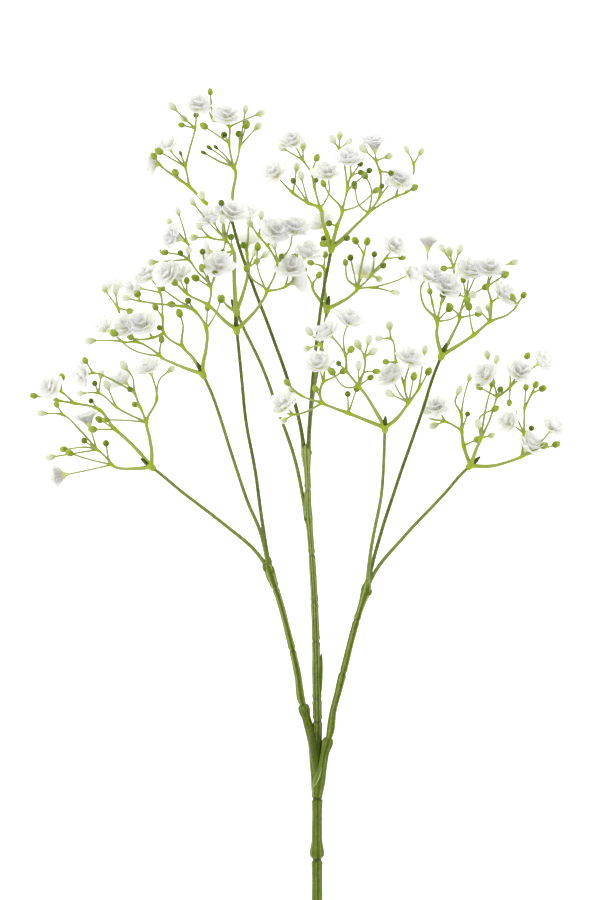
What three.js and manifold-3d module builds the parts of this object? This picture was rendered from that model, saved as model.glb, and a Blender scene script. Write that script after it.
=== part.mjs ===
// Artificial gypsophila stem: a moulded green stem that forks in three and carries ten sprays of small
// white double blooms. It lies on its back on a surface. Millimetres, +Y from the cut end to the tips,
// +Z up from the surface that it rests on.
import * as THREE from 'three';
import { mergeVertices } from 'three/addons/utils/BufferGeometryUtils.js';
import Module from 'manifold-3d';

const wasm = await Module();
wasm.setup();

// Driving dimensions, in millimetres.
const CUT_END_Y = -200;
const STEM_X = 5.7;
const STEM_RADIUS = 2.1;
const FOOT_RING_Y = -190;
const FOOT_RING_RADIUS = 3.05;
const FOOT_FLAT = 0.15; // how much of the foot ring is flattened by the surface
const STEM_RISE = 0.08; // height gained per millimetre of length, from the foot ring up
const STALK_FOOT_RADIUS = 0.75;
const STALK_TOP_RADIUS = 0.6;
const TIP_LENGTH = 5.2; // how far a stalk's end pokes out past the middle of its hub
const HUB_PROFILE = [[-2.4, 1.4], [-0.9, 1.8], [1, 1.8], [2.2, 1.4]]; // [distance along it, radius]
const HUB_HOLE_RADIUS = 1.08;
const HUB_HOLE_REACH = [-6, TIP_LENGTH + 2]; // ends of the cut, along the stalk from the hub's middle
const SOCKET_DEPTH = 3;
const SOCKET_HOLE_RADIUS = 1.4;
const SOCKET_CUT_PAST = 1; // how far the cut of a socket's hole runs out past its top
const PLUG_RADIUS = 1;
const PLUG_FLOOR_GAP = 0.4;
const PLUG_PAST = 0.35; // how far a plug runs up past its socket's top, into the branch
const ARM_RADIUS = 0.85;
const TWIG_RADIUS = 0.5;
const BUD_RADIUS = { pale: 1.6, green: 1.4, dark: 1.3, small: 0.85 };
const BUD_LENGTH = { pale: 4.2, green: 3.2, dark: 2.4, small: 2.6 };
const BUD_WIDEST = 0.1; // how far past a bud's middle it is widest, as a share of half its length
const BLOOM_TILT = 0.75; // how far a bloom turns from its twig's direction towards the light above
const STEEP_FALL = -0.4; // a bloom whose twig falls more steeply than this isn't turned
const BLOOM_DEPTH = 4.5; // from the foot of the calyx to the middle of the petals
const PETAL_THICKNESS = 0.7;
const ROOT_LENGTH = 0.9; // a limb thickens from a point over this length inside what it grows from
const BEND_KEPT = 0.35; // a route's point is kept where the route strays this far from straight

// Facets round each kind of piece.
const STEM_SIDES = 8;
const STALK_SIDES = 4;
const HUB_SIDES = 6;
const TWIG_SIDES = 3;
const BLOOM_PETALS = 4;

// Height of the stem's middle line above the surface.
const stemHeight = (y) => FOOT_RING_RADIUS - FOOT_FLAT + (y - FOOT_RING_Y) * STEM_RISE;

// ---------------------------------------------------------------------------------------------------
// Solids
// ---------------------------------------------------------------------------------------------------

// A closed geometry as a manifold-3d solid: shared vertices merged, collapsed triangles dropped.
function solid(geometry) {
  const bare = new THREE.BufferGeometry();
  bare.setAttribute('position', geometry.getAttribute('position'));
  bare.setIndex(geometry.index);
  const merged = mergeVertices(bare, 1e-3);
  const corners = [];
  const index = merged.index.array;
  for (let i = 0; i < index.length; i += 3) {
    const [a, b, c] = [index[i], index[i + 1], index[i + 2]];
    if (a !== b && b !== c && c !== a) corners.push(a, b, c);
  }
  return new wasm.Manifold(new wasm.Mesh({
    numProp: 3,
    vertProperties: merged.getAttribute('position').array,
    triVerts: new Uint32Array(corners),
  }));
}

// Joins solids in pairs, then the results in pairs, which keeps the joins small.
function join(solids) {
  let rest = solids;
  while (rest.length > 1) {
    const joined = [];
    for (let i = 0; i < rest.length; i += 2) {
      joined.push(i + 1 < rest.length ? rest[i].add(rest[i + 1]) : rest[i]);
    }
    rest = joined;
  }
  return rest[0];
}

// Cuts flat what would reach below the surface, and keeps the one body that holds the rest together.
function laidOnSurface(body) {
  const pieces = body.trimByPlane([0, 0, 1], 0).decompose();
  return pieces.reduce((largest, piece) => (piece.volume() > largest.volume() ? piece : largest));
}

// A named mesh of a solid.
function meshOf(name, body, material) {
  const { vertProperties, triVerts } = body.getMesh();
  const geometry = new THREE.BufferGeometry();
  geometry.setAttribute('position', new THREE.BufferAttribute(vertProperties, 3));
  geometry.setIndex(new THREE.BufferAttribute(triVerts, 1));
  geometry.computeVertexNormals();
  const mesh = new THREE.Mesh(geometry, material);
  mesh.name = name;
  return mesh;
}

// ---------------------------------------------------------------------------------------------------
// Shapes
// ---------------------------------------------------------------------------------------------------

const point = (x, y, z) => new THREE.Vector3(x, y, z);

// One frame for each station of a route: its direction, and two directions across it that turn as
// little as they can from one station to the next.
function framesAlong(points) {
  const last = points.length - 1;
  const directions = points.map((p, i) => {
    const before = i > 0 ? p.clone().sub(points[i - 1]).normalize() : point(0, 0, 0);
    const after = i < last ? points[i + 1].clone().sub(p).normalize() : point(0, 0, 0);
    return before.add(after).normalize();
  });
  const up = Math.abs(directions[0].z) < 0.9 ? point(0, 0, 1) : point(1, 0, 0);
  let across = up.sub(directions[0].clone().multiplyScalar(up.dot(directions[0]))).normalize();
  return points.map((at, i) => {
    const along = directions[i];
    across = across.clone().sub(along.clone().multiplyScalar(across.dot(along))).normalize();
    return { at, across, along, side: along.clone().cross(across) };
  });
}

// A ring of corners round a frame. outline: [[angle, radius, height]] by rising angle.
const ringOf = ({ at, across, side, along }, outline) => ({
  angles: outline.map(([angle]) => angle),
  corners: outline.map(([angle, radius, height]) => at.clone()
    .addScaledVector(across, radius * Math.cos(angle))
    .addScaledVector(side, radius * Math.sin(angle))
    .addScaledVector(along, height)),
});

const circle = (radius, sides) => (
  Array.from({ length: sides }, (_, i) => [(2 * Math.PI * i) / sides, radius, 0])
);
const pole = (height = 0) => [[0, 0, height]];

// Triangles between two neighbouring rings, taken in step with their angles.
function stitch(lower, upper) {
  const corners = [];
  const angleAt = ({ angles }, i) => (
    angles[i % angles.length] + 2 * Math.PI * Math.floor(i / angles.length)
  );
  const cornerAt = ({ start, angles }, i) => start + (i % angles.length);
  let [a, b] = [0, 0];
  while (a < lower.angles.length || b < upper.angles.length) {
    const nextLower = a < lower.angles.length ? angleAt(lower, a + 1) : Infinity;
    const nextUpper = b < upper.angles.length ? angleAt(upper, b + 1) : Infinity;
    if (nextLower <= nextUpper) {
      corners.push(cornerAt(lower, a), cornerAt(lower, a + 1), cornerAt(upper, b));
      a += 1;
    } else {
      corners.push(cornerAt(lower, a), cornerAt(upper, b + 1), cornerAt(upper, b));
      b += 1;
    }
  }
  return corners;
}

// A closed solid through rings, from a pole to a pole.
function loft(rings) {
  let start = 0;
  const placed = rings.map((ring) => {
    const here = { ...ring, start };
    start += ring.corners.length;
    return here;
  });
  const geometry = new THREE.BufferGeometry().setFromPoints(placed.flatMap(({ corners }) => corners));
  geometry.setIndex(placed.slice(1).flatMap((ring, i) => stitch(placed[i], ring)));
  return solid(geometry);
}

const ringAt = (frame, radius, sides) => ringOf(frame, radius > 0 ? circle(radius, sides) : pole());

// A round limb along a route. stations: [{ at, radius }]; an end is closed flat, or comes to a point
// where its radius is 0.
function limb(stations, sides) {
  const frames = framesAlong(stations.map(({ at }) => at));
  const rings = stations.map(({ radius }, i) => ringAt(frames[i], radius, sides));
  const last = frames.length - 1;
  if (stations[0].radius > 0) rings.unshift(ringOf(frames[0], pole()));
  if (stations[last].radius > 0) rings.push(ringOf(frames[last], pole()));
  return loft(rings);
}

// Sizes of a double bloom: radii round its axis and heights over the foot of its calyx. Corners lie at
// shares of the turn from one petal to the next, and neighbouring petals differ by a wave in height.
const CALYX = { radius: 1.4, height: 2 };
const SKIRT = { share: 0.28, radius: 5.8, left: 4.7, right: 4.2, wave: 0.5 };
const NOTCH = { radius: 3.7, height: 3.9 };
const THROAT = { radius: 2.3, height: 4.5 };
const CROWN = { share: 0.26, radius: 3.5, left: 6.7, right: 6.3, wave: 0.4 };
const BLOOM_HEART = 5.2;

// A bloom's corners for each petal k at a share of its turn: [angle, radius, height].
const petalCorner = (k, share, radius, height) => [
  (2 * Math.PI * (k + share)) / BLOOM_PETALS,
  radius,
  height,
];
const skirt = (k, rise) => [
  petalCorner(k, -SKIRT.share, SKIRT.radius, SKIRT.left + SKIRT.wave * (k % 2) + rise),
  petalCorner(k, SKIRT.share, SKIRT.radius, SKIRT.right + SKIRT.wave * (k % 3) + rise),
  petalCorner(k, 0.5, NOTCH.radius, NOTCH.height + rise),
];

// Outlines from the calyx up: a cone-shaped calyx, a skirt of wide petals as thick as PETAL_THICKNESS,
// and a smaller crown of petals turned half a petal inside it.
const BLOOM_OUTLINES = [
  (k) => [petalCorner(k, 0.5, CALYX.radius, CALYX.height)],
  (k) => skirt(k, 0),
  (k) => skirt(k, PETAL_THICKNESS),
  (k) => [petalCorner(k, 0.5, THROAT.radius, THROAT.height)],
  (k) => [
    petalCorner(k, 0.5 - CROWN.share, CROWN.radius, CROWN.left + CROWN.wave * (k % 2)),
    petalCorner(k, 0.5 + CROWN.share, CROWN.radius, CROWN.right + CROWN.wave * (k % 3)),
  ],
].map((outline) => Array.from({ length: BLOOM_PETALS }, (_, k) => outline(k)).flat());

// A limb that opens into a bloom at its end. facing: the way the bloom opens, from the limb's last point.
function bloomLimb(stations, facing, sides) {
  const foot = stations[stations.length - 1].at;
  const frames = framesAlong([...stations.map(({ at }) => at), foot.clone().add(facing)]);
  const open = { ...frames.pop(), at: foot };
  const rings = stations.map(({ radius }, i) => ringAt(frames[i], radius, sides));
  return loft([
    ...rings,
    ...BLOOM_OUTLINES.map((outline) => ringOf(open, outline)),
    ringOf(open, pole(BLOOM_HEART)),
  ]);
}

// ---------------------------------------------------------------------------------------------------
// Layout of the sprays. Each route runs over the surface in x and y; lift is how much higher its end
// lies than its root. A route's first point is a point that an earlier route of its spray passes.
// ---------------------------------------------------------------------------------------------------

const route = (end) => (lift, ...points) => ({ end, lift, points });
const twig = route('twig');
const pale = route('pale');
const green = route('green');
const dark = route('dark');
const small = route('small');
const bloom = route('bloom');
const trumpet = route('trumpet');

const SPRAYS = {
  spray_left_low: {
    hub: [-61, 48.5, 22],
    routes: [
      twig(8, [-61, 48.5], [-60.7, 54], [-61.5, 60], [-62.7, 66.3]),
      twig(-2, [-61, 48.5], [-66, 54.5], [-72, 60.5], [-75.5, 63.5]),
      twig(-8, [-61, 48.5], [-66, 47.8], [-77, 49.3]),
      bloom(4, [-62.7, 66.3], [-58.5, 76], [-60.3, 84.5], [-62, 88.8]),
      pale(-3, [-58.5, 76], [-57, 84], [-53, 87.5]),
      twig(3, [-62.7, 66.3], [-65, 72], [-67.3, 78]),
      pale(4, [-67.3, 78], [-68.5, 85], [-71.5, 88.8]),
      bloom(-4, [-67.3, 78], [-73, 84.5]),
      twig(-3, [-62.7, 66.3], [-75, 72.5], [-82, 78]),
      bloom(4, [-67.3, 78], [-74, 82], [-84, 86], [-89, 85]),
      green(3, [-84, 86], [-87, 91]),
      pale(2, [-82, 78], [-89, 78]),
      pale(4, [-75, 72.5], [-78.5, 81]),
      pale(-3, [-82, 78], [-81, 85.5]),
      green(3, [-62.7, 66.3], [-70, 67], [-79, 67.3]),
      twig(1, [-75.5, 63.5], [-82, 71.5], [-92, 74], [-98, 75]),
      green(3, [-98, 75], [-108.2, 77]),
      bloom(5, [-92, 74], [-97, 78.5], [-102, 81]),
      green(-4, [-97, 78.5], [-97, 84.5]),
      pale(-3, [-98, 75], [-106, 81.5]),
      green(3, [-75.5, 63.5], [-84.5, 63.5]),
      dark(5, [-77, 49.3], [-79.2, 58]),
      green(4, [-77, 49.3], [-88, 52], [-94, 54]),
      trumpet(-9.5, [-77, 49.3], [-88, 46.8], [-98.5, 44.7]),
      twig(2, [-77, 49.3], [-83, 55.3]),
      green(-3, [-83, 55.3], [-96.5, 55.5]),
      pale(3, [-83, 55.3], [-101.5, 52.3]),
      dark(5, [-83, 55.3], [-88, 59]),
      trumpet(0, [-83, 55.3], [-85, 62], [-87, 68]),
      pale(6, [-83, 55.3], [-90, 63.5], [-96.5, 69.3], [-105, 70]),
      green(4, [-96.5, 69.3], [-99, 73.5]),
    ],
  },
  spray_left_middle: {
    hub: [-40, 85.5, 44],
    routes: [
      twig(6, [-40, 85.5], [-39.8, 90], [-38.7, 95], [-38.5, 103.5]),
      twig(-3, [-40, 85.5], [-44, 92], [-48, 96.5]),
      twig(-8, [-40, 85.5], [-46, 87.5], [-52, 90], [-57, 92.8]),
      twig(-2, [-38.5, 103.5], [-43, 110.5]),
      green(-4, [-38.5, 103.5], [-34.5, 110], [-32.5, 115.5]),
      green(3, [-43, 110.5], [-50, 115], [-56.5, 119.8]),
      green(-3, [-43, 110.5], [-48, 112.5], [-52.5, 113.3]),
      twig(2, [-48, 112.5], [-65, 114.5]),
      pale(3, [-65, 114.5], [-70.5, 115.6]),
      dark(2, [-43, 110.5], [-45.8, 114.7]),
      green(4, [-48, 96.5], [-48, 106], [-49.3, 109.8]),
      twig(1, [-48, 96.5], [-55.5, 102]),
      twig(3, [-55.5, 102], [-56, 108], [-57, 118]),
      bloom(2, [-57, 118], [-62, 126]),
      bloom(-4, [-57, 118], [-68, 120.5]),
      green(-3, [-56, 108], [-59, 112.3]),
      twig(-3, [-55.5, 102], [-60, 100], [-69, 101]),
      bloom(5, [-60, 100], [-64, 106]),
      bloom(3, [-69, 101], [-71, 105]),
      green(3, [-57, 92.8], [-56.5, 99.5]),
      twig(2, [-57, 92.8], [-66.5, 98.4]),
      green(4, [-66.5, 98.4], [-72, 98.5], [-75.5, 101.8]),
      pale(1, [-72, 98.5], [-79, 99], [-85, 98.8]),
      bloom(-3, [-57, 92.8], [-67, 94.8], [-80.5, 105]),
      twig(-4, [-69, 101], [-74, 112]),
      pale(4, [-74, 112], [-75, 119]),
      pale(-2, [-74, 112], [-79.5, 119.5]),
      bloom(-6, [-74, 112], [-76, 122]),
    ],
  },
  spray_left_high: {
    hub: [-26.3, 103, 62],
    routes: [
      twig(6, [-26.3, 103], [-30, 105.5], [-37.5, 112.5]),
      twig(-3, [-26.3, 103], [-22, 107], [-17, 113], [-14.5, 118.3]),
      twig(4, [-26.3, 103], [-27.3, 120], [-27.5, 125.5], [-28, 135]),
      twig(1, [-37.5, 112.5], [-46, 117]),
      green(3, [-46, 117], [-51, 121.5]),
      bloom(5, [-46, 117], [-54, 125]),
      bloom(-3, [-46, 117], [-50, 125.3]),
      twig(3, [-37.5, 112.5], [-36.5, 119.5]),
      twig(1, [-36.5, 119.5], [-42, 126], [-45.3, 130.5]),
      green(4, [-36.5, 119.5], [-39.8, 127]),
      dark(2, [-36.5, 119.5], [-38.8, 129], [-39.7, 133.6]),
      green(-3, [-36.5, 119.5], [-42.6, 123.3]),
      dark(5, [-36.5, 119.5], [-34.8, 125]),
      green(2, [-45.3, 130.5], [-55, 133.5]),
      pale(-4, [-45.3, 130.5], [-60, 129.5]),
      pale(4, [-45.3, 130.5], [-45.1, 133.8]),
      twig(4, [-45.3, 130.5], [-45.8, 137]),
      trumpet(3, [-45.8, 137], [-48.7, 138.3], [-51.2, 139.3]),
      pale(-3, [-45.8, 137], [-52.8, 145.4]),
      pale(3, [-45.8, 137], [-47, 142], [-49.3, 149.2]),
      bloom(4, [-36.5, 119.5], [-34.5, 124], [-33, 128.5]),
      green(3, [-14.5, 118.3], [-20, 123], [-22.5, 127]),
      twig(2, [-14.5, 118.3], [-11, 125.5], [-10.3, 130]),
      pale(4, [-10.3, 130], [-11.5, 136.5]),
      twig(1, [-10.3, 130], [-14, 136], [-17.5, 140]),
      pale(-3, [-17.5, 140], [-21, 145]),
      pale(3, [-17.5, 140], [-16.5, 148]),
      bloom(2, [-10.3, 130], [-5.5, 135], [-3.5, 144]),
      bloom(-4, [-14.5, 118.3], [-7, 120], [-0.5, 129], [1.5, 134.5]),
      green(-3, [-14.5, 118.3], [-18.3, 130], [-18, 136]),
      bloom(5, [-14, 136], [-11, 142.5]),
      bloom(4, [-7, 120], [-5, 128]),
      bloom(-3, [-7, 120], [-1.5, 123]),
      twig(0, [-28, 135], [-30.5, 138.5]),
      pale(10, [-30.5, 138.5], [-32, 146]),
      bloom(4, [-30.5, 138.5], [-29.3, 144], [-27.8, 149.5]),
      bloom(0, [-30.5, 138.5], [-34, 143], [-36.8, 148]),
      dark(5, [-30.5, 138.5], [-32.3, 153]),
      dark(3, [-30.5, 138.5], [-31.7, 133.4]),
      pale(2, [-30.5, 138.5], [-36.3, 144.2], [-43.7, 153.2]),
      twig(-2, [-30.5, 138.5], [-37, 139.5]),
      pale(2, [-37, 139.5], [-41, 143.5]),
      pale(-3, [-37, 139.5], [-43.5, 139.5]),
    ],
  },
  spray_back_left: {
    hub: [-26.8, 111, 17],
    routes: [
      twig(-3, [-26.8, 111], [-27.3, 120], [-27.5, 125.5], [-28, 135]),
      twig(2, [-26.8, 111], [-24.5, 117], [-22, 128.5]),
      green(3, [-26.8, 111], [-30, 112.8], [-33, 116]),
      dark(4, [-28, 135], [-34.8, 132.5]),
      bloom(-10.5, [-28, 135], [-40.5, 135.5]),
      twig(2, [-22, 128.5], [-22.5, 134]),
      bloom(3, [-22.5, 134], [-22, 142], [-21.8, 151]),
      bloom(-6, [-22.5, 134], [-22, 141]),
      pale(4, [-22, 128.5], [-19.4, 134.4]),
      pale(2, [-22, 128.5], [-15.2, 133.6]),
      green(4, [-22, 128.5], [-18.5, 131]),
    ],
  },
  spray_top_left: {
    hub: [-29, 149, 42],
    routes: [
      twig(-4, [-29, 149], [-34, 150.5], [-39, 154], [-45.5, 160.5]),
      twig(4, [-29, 149], [-28.7, 152], [-28, 158], [-27.5, 167.5]),
      twig(2, [-45.5, 160.5], [-49, 163], [-57, 169]),
      green(3, [-57, 169], [-59.5, 172.5]),
      bloom(-2, [-57, 169], [-61.5, 169.5]),
      pale(4, [-39, 154], [-40.3, 156.8]),
      twig(3, [-45.5, 160.5], [-47, 168.3]),
      small(3, [-47, 168.3], [-48.8, 173.5]),
      bloom(-4, [-47, 168.3], [-52, 173.5], [-54.5, 178]),
      green(5, [-47, 168.3], [-57.5, 174.3]),
      twig(3, [-47, 168.3], [-45, 176], [-43, 183.5]),
      green(3, [-43, 183.5], [-48.5, 184.7]),
      pale(-3, [-43, 183.5], [-47.5, 187.5]),
      pale(3, [-43, 183.5], [-48.5, 188.5], [-52, 192]),
      bloom(3, [-43, 183.5], [-42, 193.5]),
      small(3, [-27.5, 167.5], [-33, 170], [-39.6, 173.6]),
      small(1, [-27.5, 167.5], [-31.5, 171.5], [-37.4, 175.7]),
      small(-3, [-27.5, 167.5], [-31, 172.5], [-34.8, 176]),
      twig(0, [-27.5, 167.5], [-29.5, 177.5], [-29.5, 184]),
      green(4, [-29.5, 177.5], [-34, 180.5], [-39.5, 184.2]),
      dark(-4, [-29.5, 184], [-36, 187], [-38, 192.5]),
      green(3, [-36, 187], [-37, 198]),
      bloom(4, [-29.5, 184], [-30, 189]),
      pale(-3, [-29.5, 184], [-23, 187], [-17, 189.5]),
      twig(-4, [-27.5, 167.5], [-26, 172], [-25.3, 176.5]),
      green(2, [-25.3, 176.5], [-22.5, 185]),
      pale(-3, [-25.3, 176.5], [-18, 184.5]),
      pale(3, [-25.3, 176.5], [-22.9, 191]),
    ],
  },
  spray_top: {
    hub: [11.4, 135.5, 56],
    routes: [
      twig(-5, [11.4, 135.5], [9.5, 141], [7.8, 146], [6.8, 151.3]),
      twig(8, [11.4, 135.5], [13.5, 144], [15.5, 150]),
      twig(0, [11.4, 135.5], [17, 140.5], [21, 144.5], [26, 149.5], [30.5, 156]),
      twig(-2, [6.8, 151.3], [2, 153.5], [-4, 157.5]),
      bloom(3, [-4, 157.5], [-8.5, 162], [-12, 166]),
      dark(3, [2, 153.5], [-3.9, 162.3]),
      pale(-4, [-4, 157.5], [-2.5, 168]),
      pale(5, [2, 153.5], [-0.8, 164]),
      twig(-2, [6.8, 151.3], [4.5, 160], [3.3, 165.5]),
      twig(2, [3.3, 165.5], [0, 170.5]),
      bloom(3, [0, 170.5], [-4.5, 179]),
      pale(3, [0, 170.5], [-8.3, 175.3]),
      pale(-4, [0, 170.5], [0, 176.3]),
      green(3, [3.3, 165.5], [5.5, 171.5]),
      bloom(6, [6.8, 151.3], [10.5, 159], [9.8, 166]),
      bloom(-8, [9.5, 141], [7, 146.5]),
      green(3, [11.4, 135.5], [8, 137]),
      dark(4, [11.4, 135.5], [17.5, 139.3]),
      green(4, [15.5, 150], [10, 157], [8, 160.7]),
      twig(3, [15.5, 150], [17.5, 158], [19, 163.5]),
      dark(-4, [19, 163.5], [22.7, 168.7]),
      dark(-3, [17.5, 158], [26.3, 166]),
      twig(-3, [17.5, 158], [14.3, 174.3]),
      pale(3, [14.3, 174.3], [11.8, 178]),
      pale(-3, [14.3, 174.3], [14.5, 180]),
      pale(4, [14.3, 174.3], [18, 177.3]),
      bloom(4, [19, 163.5], [18.5, 171]),
      green(4, [15.5, 150], [21, 151.5], [29, 158]),
      green(4, [26, 149.5], [23, 151.5], [20.3, 160]),
      dark(-3, [30.5, 156], [34.5, 161]),
      twig(2, [30.5, 156], [30.5, 166], [29, 170]),
      trumpet(2, [29, 170], [28.2, 177]),
      pale(4, [29, 170], [24, 174.5]),
      pale(-4, [29, 170], [34, 172]),
      twig(-3, [26, 149.5], [37, 156], [41, 157.5]),
      green(2, [41, 157.5], [44.3, 159.5]),
      bloom(4, [37, 156], [38.5, 163]),
      twig(-3, [41, 157.5], [44, 169]),
      pale(3, [44, 169], [41.3, 174.5]),
      pale(-3, [44, 169], [47, 174]),
    ],
  },
  spray_back: {
    hub: [9.7, 112, 20],
    routes: [
      twig(3, [9.7, 112], [15, 114.5], [19, 117], [21.8, 120]),
      twig(-3, [9.7, 112], [8.5, 122], [8.3, 128.5]),
      twig(3, [9.7, 112], [7.5, 114.5], [3.8, 121.5]),
      green(4, [21.8, 120], [18, 123.5], [17, 130.5]),
      dark(3, [21.8, 120], [19, 132.5]),
      twig(2, [21.8, 120], [27.3, 125.5]),
      dark(3, [27.3, 125.5], [28.6, 133.8]),
      twig(-2, [21.8, 120], [24.5, 134]),
      green(3, [24.5, 134], [25.8, 139]),
      green(-3, [24.5, 134], [21, 139.5]),
      twig(1, [27.3, 125.5], [33, 132]),
      bloom(3, [33, 132], [37, 137.5]),
      green(-4, [33, 132], [39.8, 132.7]),
      pale(-4, [27.3, 125.5], [30.5, 124]),
      twig(-4, [21.8, 120], [28, 120.5]),
      pale(4, [28, 120.5], [37, 118.5]),
      bloom(-3, [28, 120.5], [38, 123.5], [44.5, 126.7]),
      bloom(-20.3, [21.8, 120], [25, 128]),
      green(4, [8.3, 128.5], [3, 130.5]),
      green(-3, [8.3, 128.5], [9, 134]),
      green(-4, [3.8, 121.5], [0.5, 128]),
    ],
  },
  spray_right_high: {
    hub: [55.3, 93, 44],
    routes: [
      twig(4, [55.3, 93], [53.3, 101], [53.3, 106.5]),
      twig(-4, [55.3, 93], [58.5, 99], [60.5, 103], [62.5, 108]),
      twig(2, [55.3, 93], [62, 97], [68, 101], [74.5, 106.3]),
      bloom(6, [53.3, 106.5], [48, 113], [47.3, 121], [50.5, 125.5]),
      twig(-3, [53.3, 106.5], [51.5, 114]),
      green(3, [51.5, 114], [50.5, 118.5]),
      trumpet(-4, [51.5, 114], [49.5, 130], [50, 138.5]),
      twig(2, [53.3, 106.5], [55, 113.8]),
      bloom(3, [55, 113.8], [57.5, 120.5]),
      green(-3, [53.3, 106.5], [58.5, 111.7]),
      green(4, [53.3, 106.5], [60, 107.8], [65.5, 114.5]),
      twig(-7, [55, 113.8], [60, 128]),
      pale(4, [60, 128], [55.5, 135.5]),
      pale(-4, [60, 128], [58.5, 134.5]),
      pale(2, [60, 128], [62.5, 135]),
      green(4, [62.5, 108], [70, 109.5]),
      twig(2, [62.5, 108], [65, 116]),
      pale(4, [65, 116], [67.5, 117]),
      green(-4, [65, 116], [64, 123.3]),
      green(3, [65, 116], [69, 125]),
      bloom(5, [65, 116], [66.5, 127.5]),
      green(3, [65, 116], [73, 120.3]),
      twig(2, [74.5, 106.3], [82, 109.5], [85, 112.7]),
      green(3, [85, 112.7], [83.3, 116]),
      green(-3, [85, 112.7], [88, 117]),
      twig(2, [74.5, 106.3], [75, 114], [73.5, 120.5]),
      bloom(3, [73.5, 120.5], [74.5, 128.5]),
      green(4, [73.5, 120.5], [80.5, 125]),
      bloom(1, [75, 114], [80.5, 118]),
      pale(4, [74.5, 106.3], [70, 111]),
      pale(-3, [73.5, 120.5], [78, 128], [84, 130]),
    ],
  },
  spray_right_middle: {
    hub: [32.5, 64, 58],
    routes: [
      twig(2, [32.5, 64], [25, 67], [18, 69.8], [12, 72], [7.8, 74]),
      twig(7, [32.5, 64], [28, 72], [24.5, 77.5], [22, 80.5]),
      twig(-3, [32.5, 64], [37, 67.5], [42, 74]),
      dark(4, [18, 69.8], [17.7, 77.5]),
      twig(2, [7.8, 74], [8, 82]),
      green(3, [8, 82], [12, 84], [16, 86.5]),
      bloom(4, [8, 82], [6, 90]),
      twig(1, [7.8, 74], [-1, 77]),
      green(3, [-1, 77], [-6.5, 82]),
      pale(-3, [-1, 77], [-5, 79]),
      twig(-2, [7.8, 74], [-4, 69.3]),
      pale(3, [-4, 69.3], [-9.5, 70.5]),
      pale(-3, [-4, 69.3], [-7.5, 67]),
      bloom(4, [-4, 69.3], [-8, 74]),
      twig(1, [22, 80.5], [17, 86.5]),
      bloom(-3, [17, 86.5], [16.8, 92.5], [12.5, 99], [9, 102.5]),
      bloom(4, [16.8, 92.5], [16.3, 101], [18.5, 107.5]),
      twig(3, [22, 80.5], [24.3, 92]),
      pale(-3, [24.3, 92], [21.8, 97]),
      pale(3, [24.3, 92], [26, 98.5]),
      pale(5, [22, 80.5], [22, 88.5]),
      green(3, [22, 80.5], [24.5, 86], [29, 86.3]),
      green(4, [22, 80.5], [17, 80], [11.3, 86.3]),
      green(-4, [42, 74], [46, 79.5], [50, 86.5]),
      twig(2, [42, 74], [40.3, 81]),
      green(4, [42, 74], [44, 84.5]),
      bloom(3, [40.3, 81], [43, 92]),
      pale(-3, [46, 79.5], [48.5, 95]),
      bloom(5, [42, 74], [38.5, 77.5], [34.5, 85]),
      pale(4, [42, 74], [34.5, 77.5]),
      twig(2, [40.3, 81], [37, 90], [34.8, 99.3]),
      pale(3, [34.8, 99.3], [30.3, 99.5]),
      pale(-3, [34.8, 99.3], [34.3, 104.5]),
      twig(-3, [8, 82], [7, 97]),
      pale(3, [7, 97], [2.5, 102]),
      pale(-3, [7, 97], [1.5, 95.5]),
    ],
  },
  spray_right_low: {
    hub: [67.3, 49, 22],
    routes: [
      twig(4, [67.3, 49], [64.5, 57], [63.7, 63], [63.5, 69.5]),
      twig(8, [67.3, 49], [69.5, 55.5], [71.3, 60]),
      twig(-4, [67.3, 49], [76, 48.8], [82, 50.3], [88, 52.5]),
      twig(1, [63.7, 63], [57, 66.7], [51, 68]),
      pale(3, [51, 68], [49.5, 70.5]),
      bloom(4, [57, 66.7], [53.5, 73]),
      pale(3, [63.5, 69.5], [61, 75], [62.5, 79]),
      pale(-4, [63.5, 69.5], [65, 78], [67, 84.5]),
      green(3, [71.3, 60], [71, 68.5], [77, 71.8]),
      green(-4, [71.3, 60], [74, 75], [76, 82]),
      pale(-4, [71.3, 60], [75.5, 61]),
      twig(1, [71.3, 60], [74.5, 66.5], [77.7, 76.5]),
      green(3, [77.7, 76.5], [70.5, 80.3]),
      bloom(3, [77.7, 76.5], [76, 82], [72.5, 86]),
      pale(-4, [76, 82], [74, 93.5]),
      pale(3, [76, 82], [77.5, 91.5]),
      twig(1, [77.7, 76.5], [83, 80.5]),
      bloom(4, [83, 80.5], [87, 87]),
      green(-4, [83, 80.5], [83, 89.5]),
      green(3, [83, 80.5], [82.5, 74]),
      green(-5, [83, 80.5], [90, 93]),
      bloom(2, [83, 80.5], [92, 88], [96.5, 91.5]),
      bloom(-15.7, [88, 52.5], [92, 57.5]),
      bloom(3, [88, 52.5], [91.8, 57.7]),
      twig(3, [88, 52.5], [88.8, 62], [89, 72]),
      green(4, [89, 72], [89.5, 80.5]),
      twig(0, [89, 72], [92, 78]),
      green(-3, [92, 78], [96.5, 80]),
      bloom(5, [88.8, 62], [82, 67]),
      dark(-3, [88.8, 62], [92, 64]),
      bloom(3, [88, 52.5], [97.5, 60.5], [101.5, 65]),
      green(4, [88, 52.5], [97, 57]),
      green(-3, [88, 52.5], [102, 57.5]),
    ],
  },
};

// ---------------------------------------------------------------------------------------------------
// Layout of the stems: [x, y, radius] along each, and the stalks' routes from collar to hub.
// ---------------------------------------------------------------------------------------------------

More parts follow.
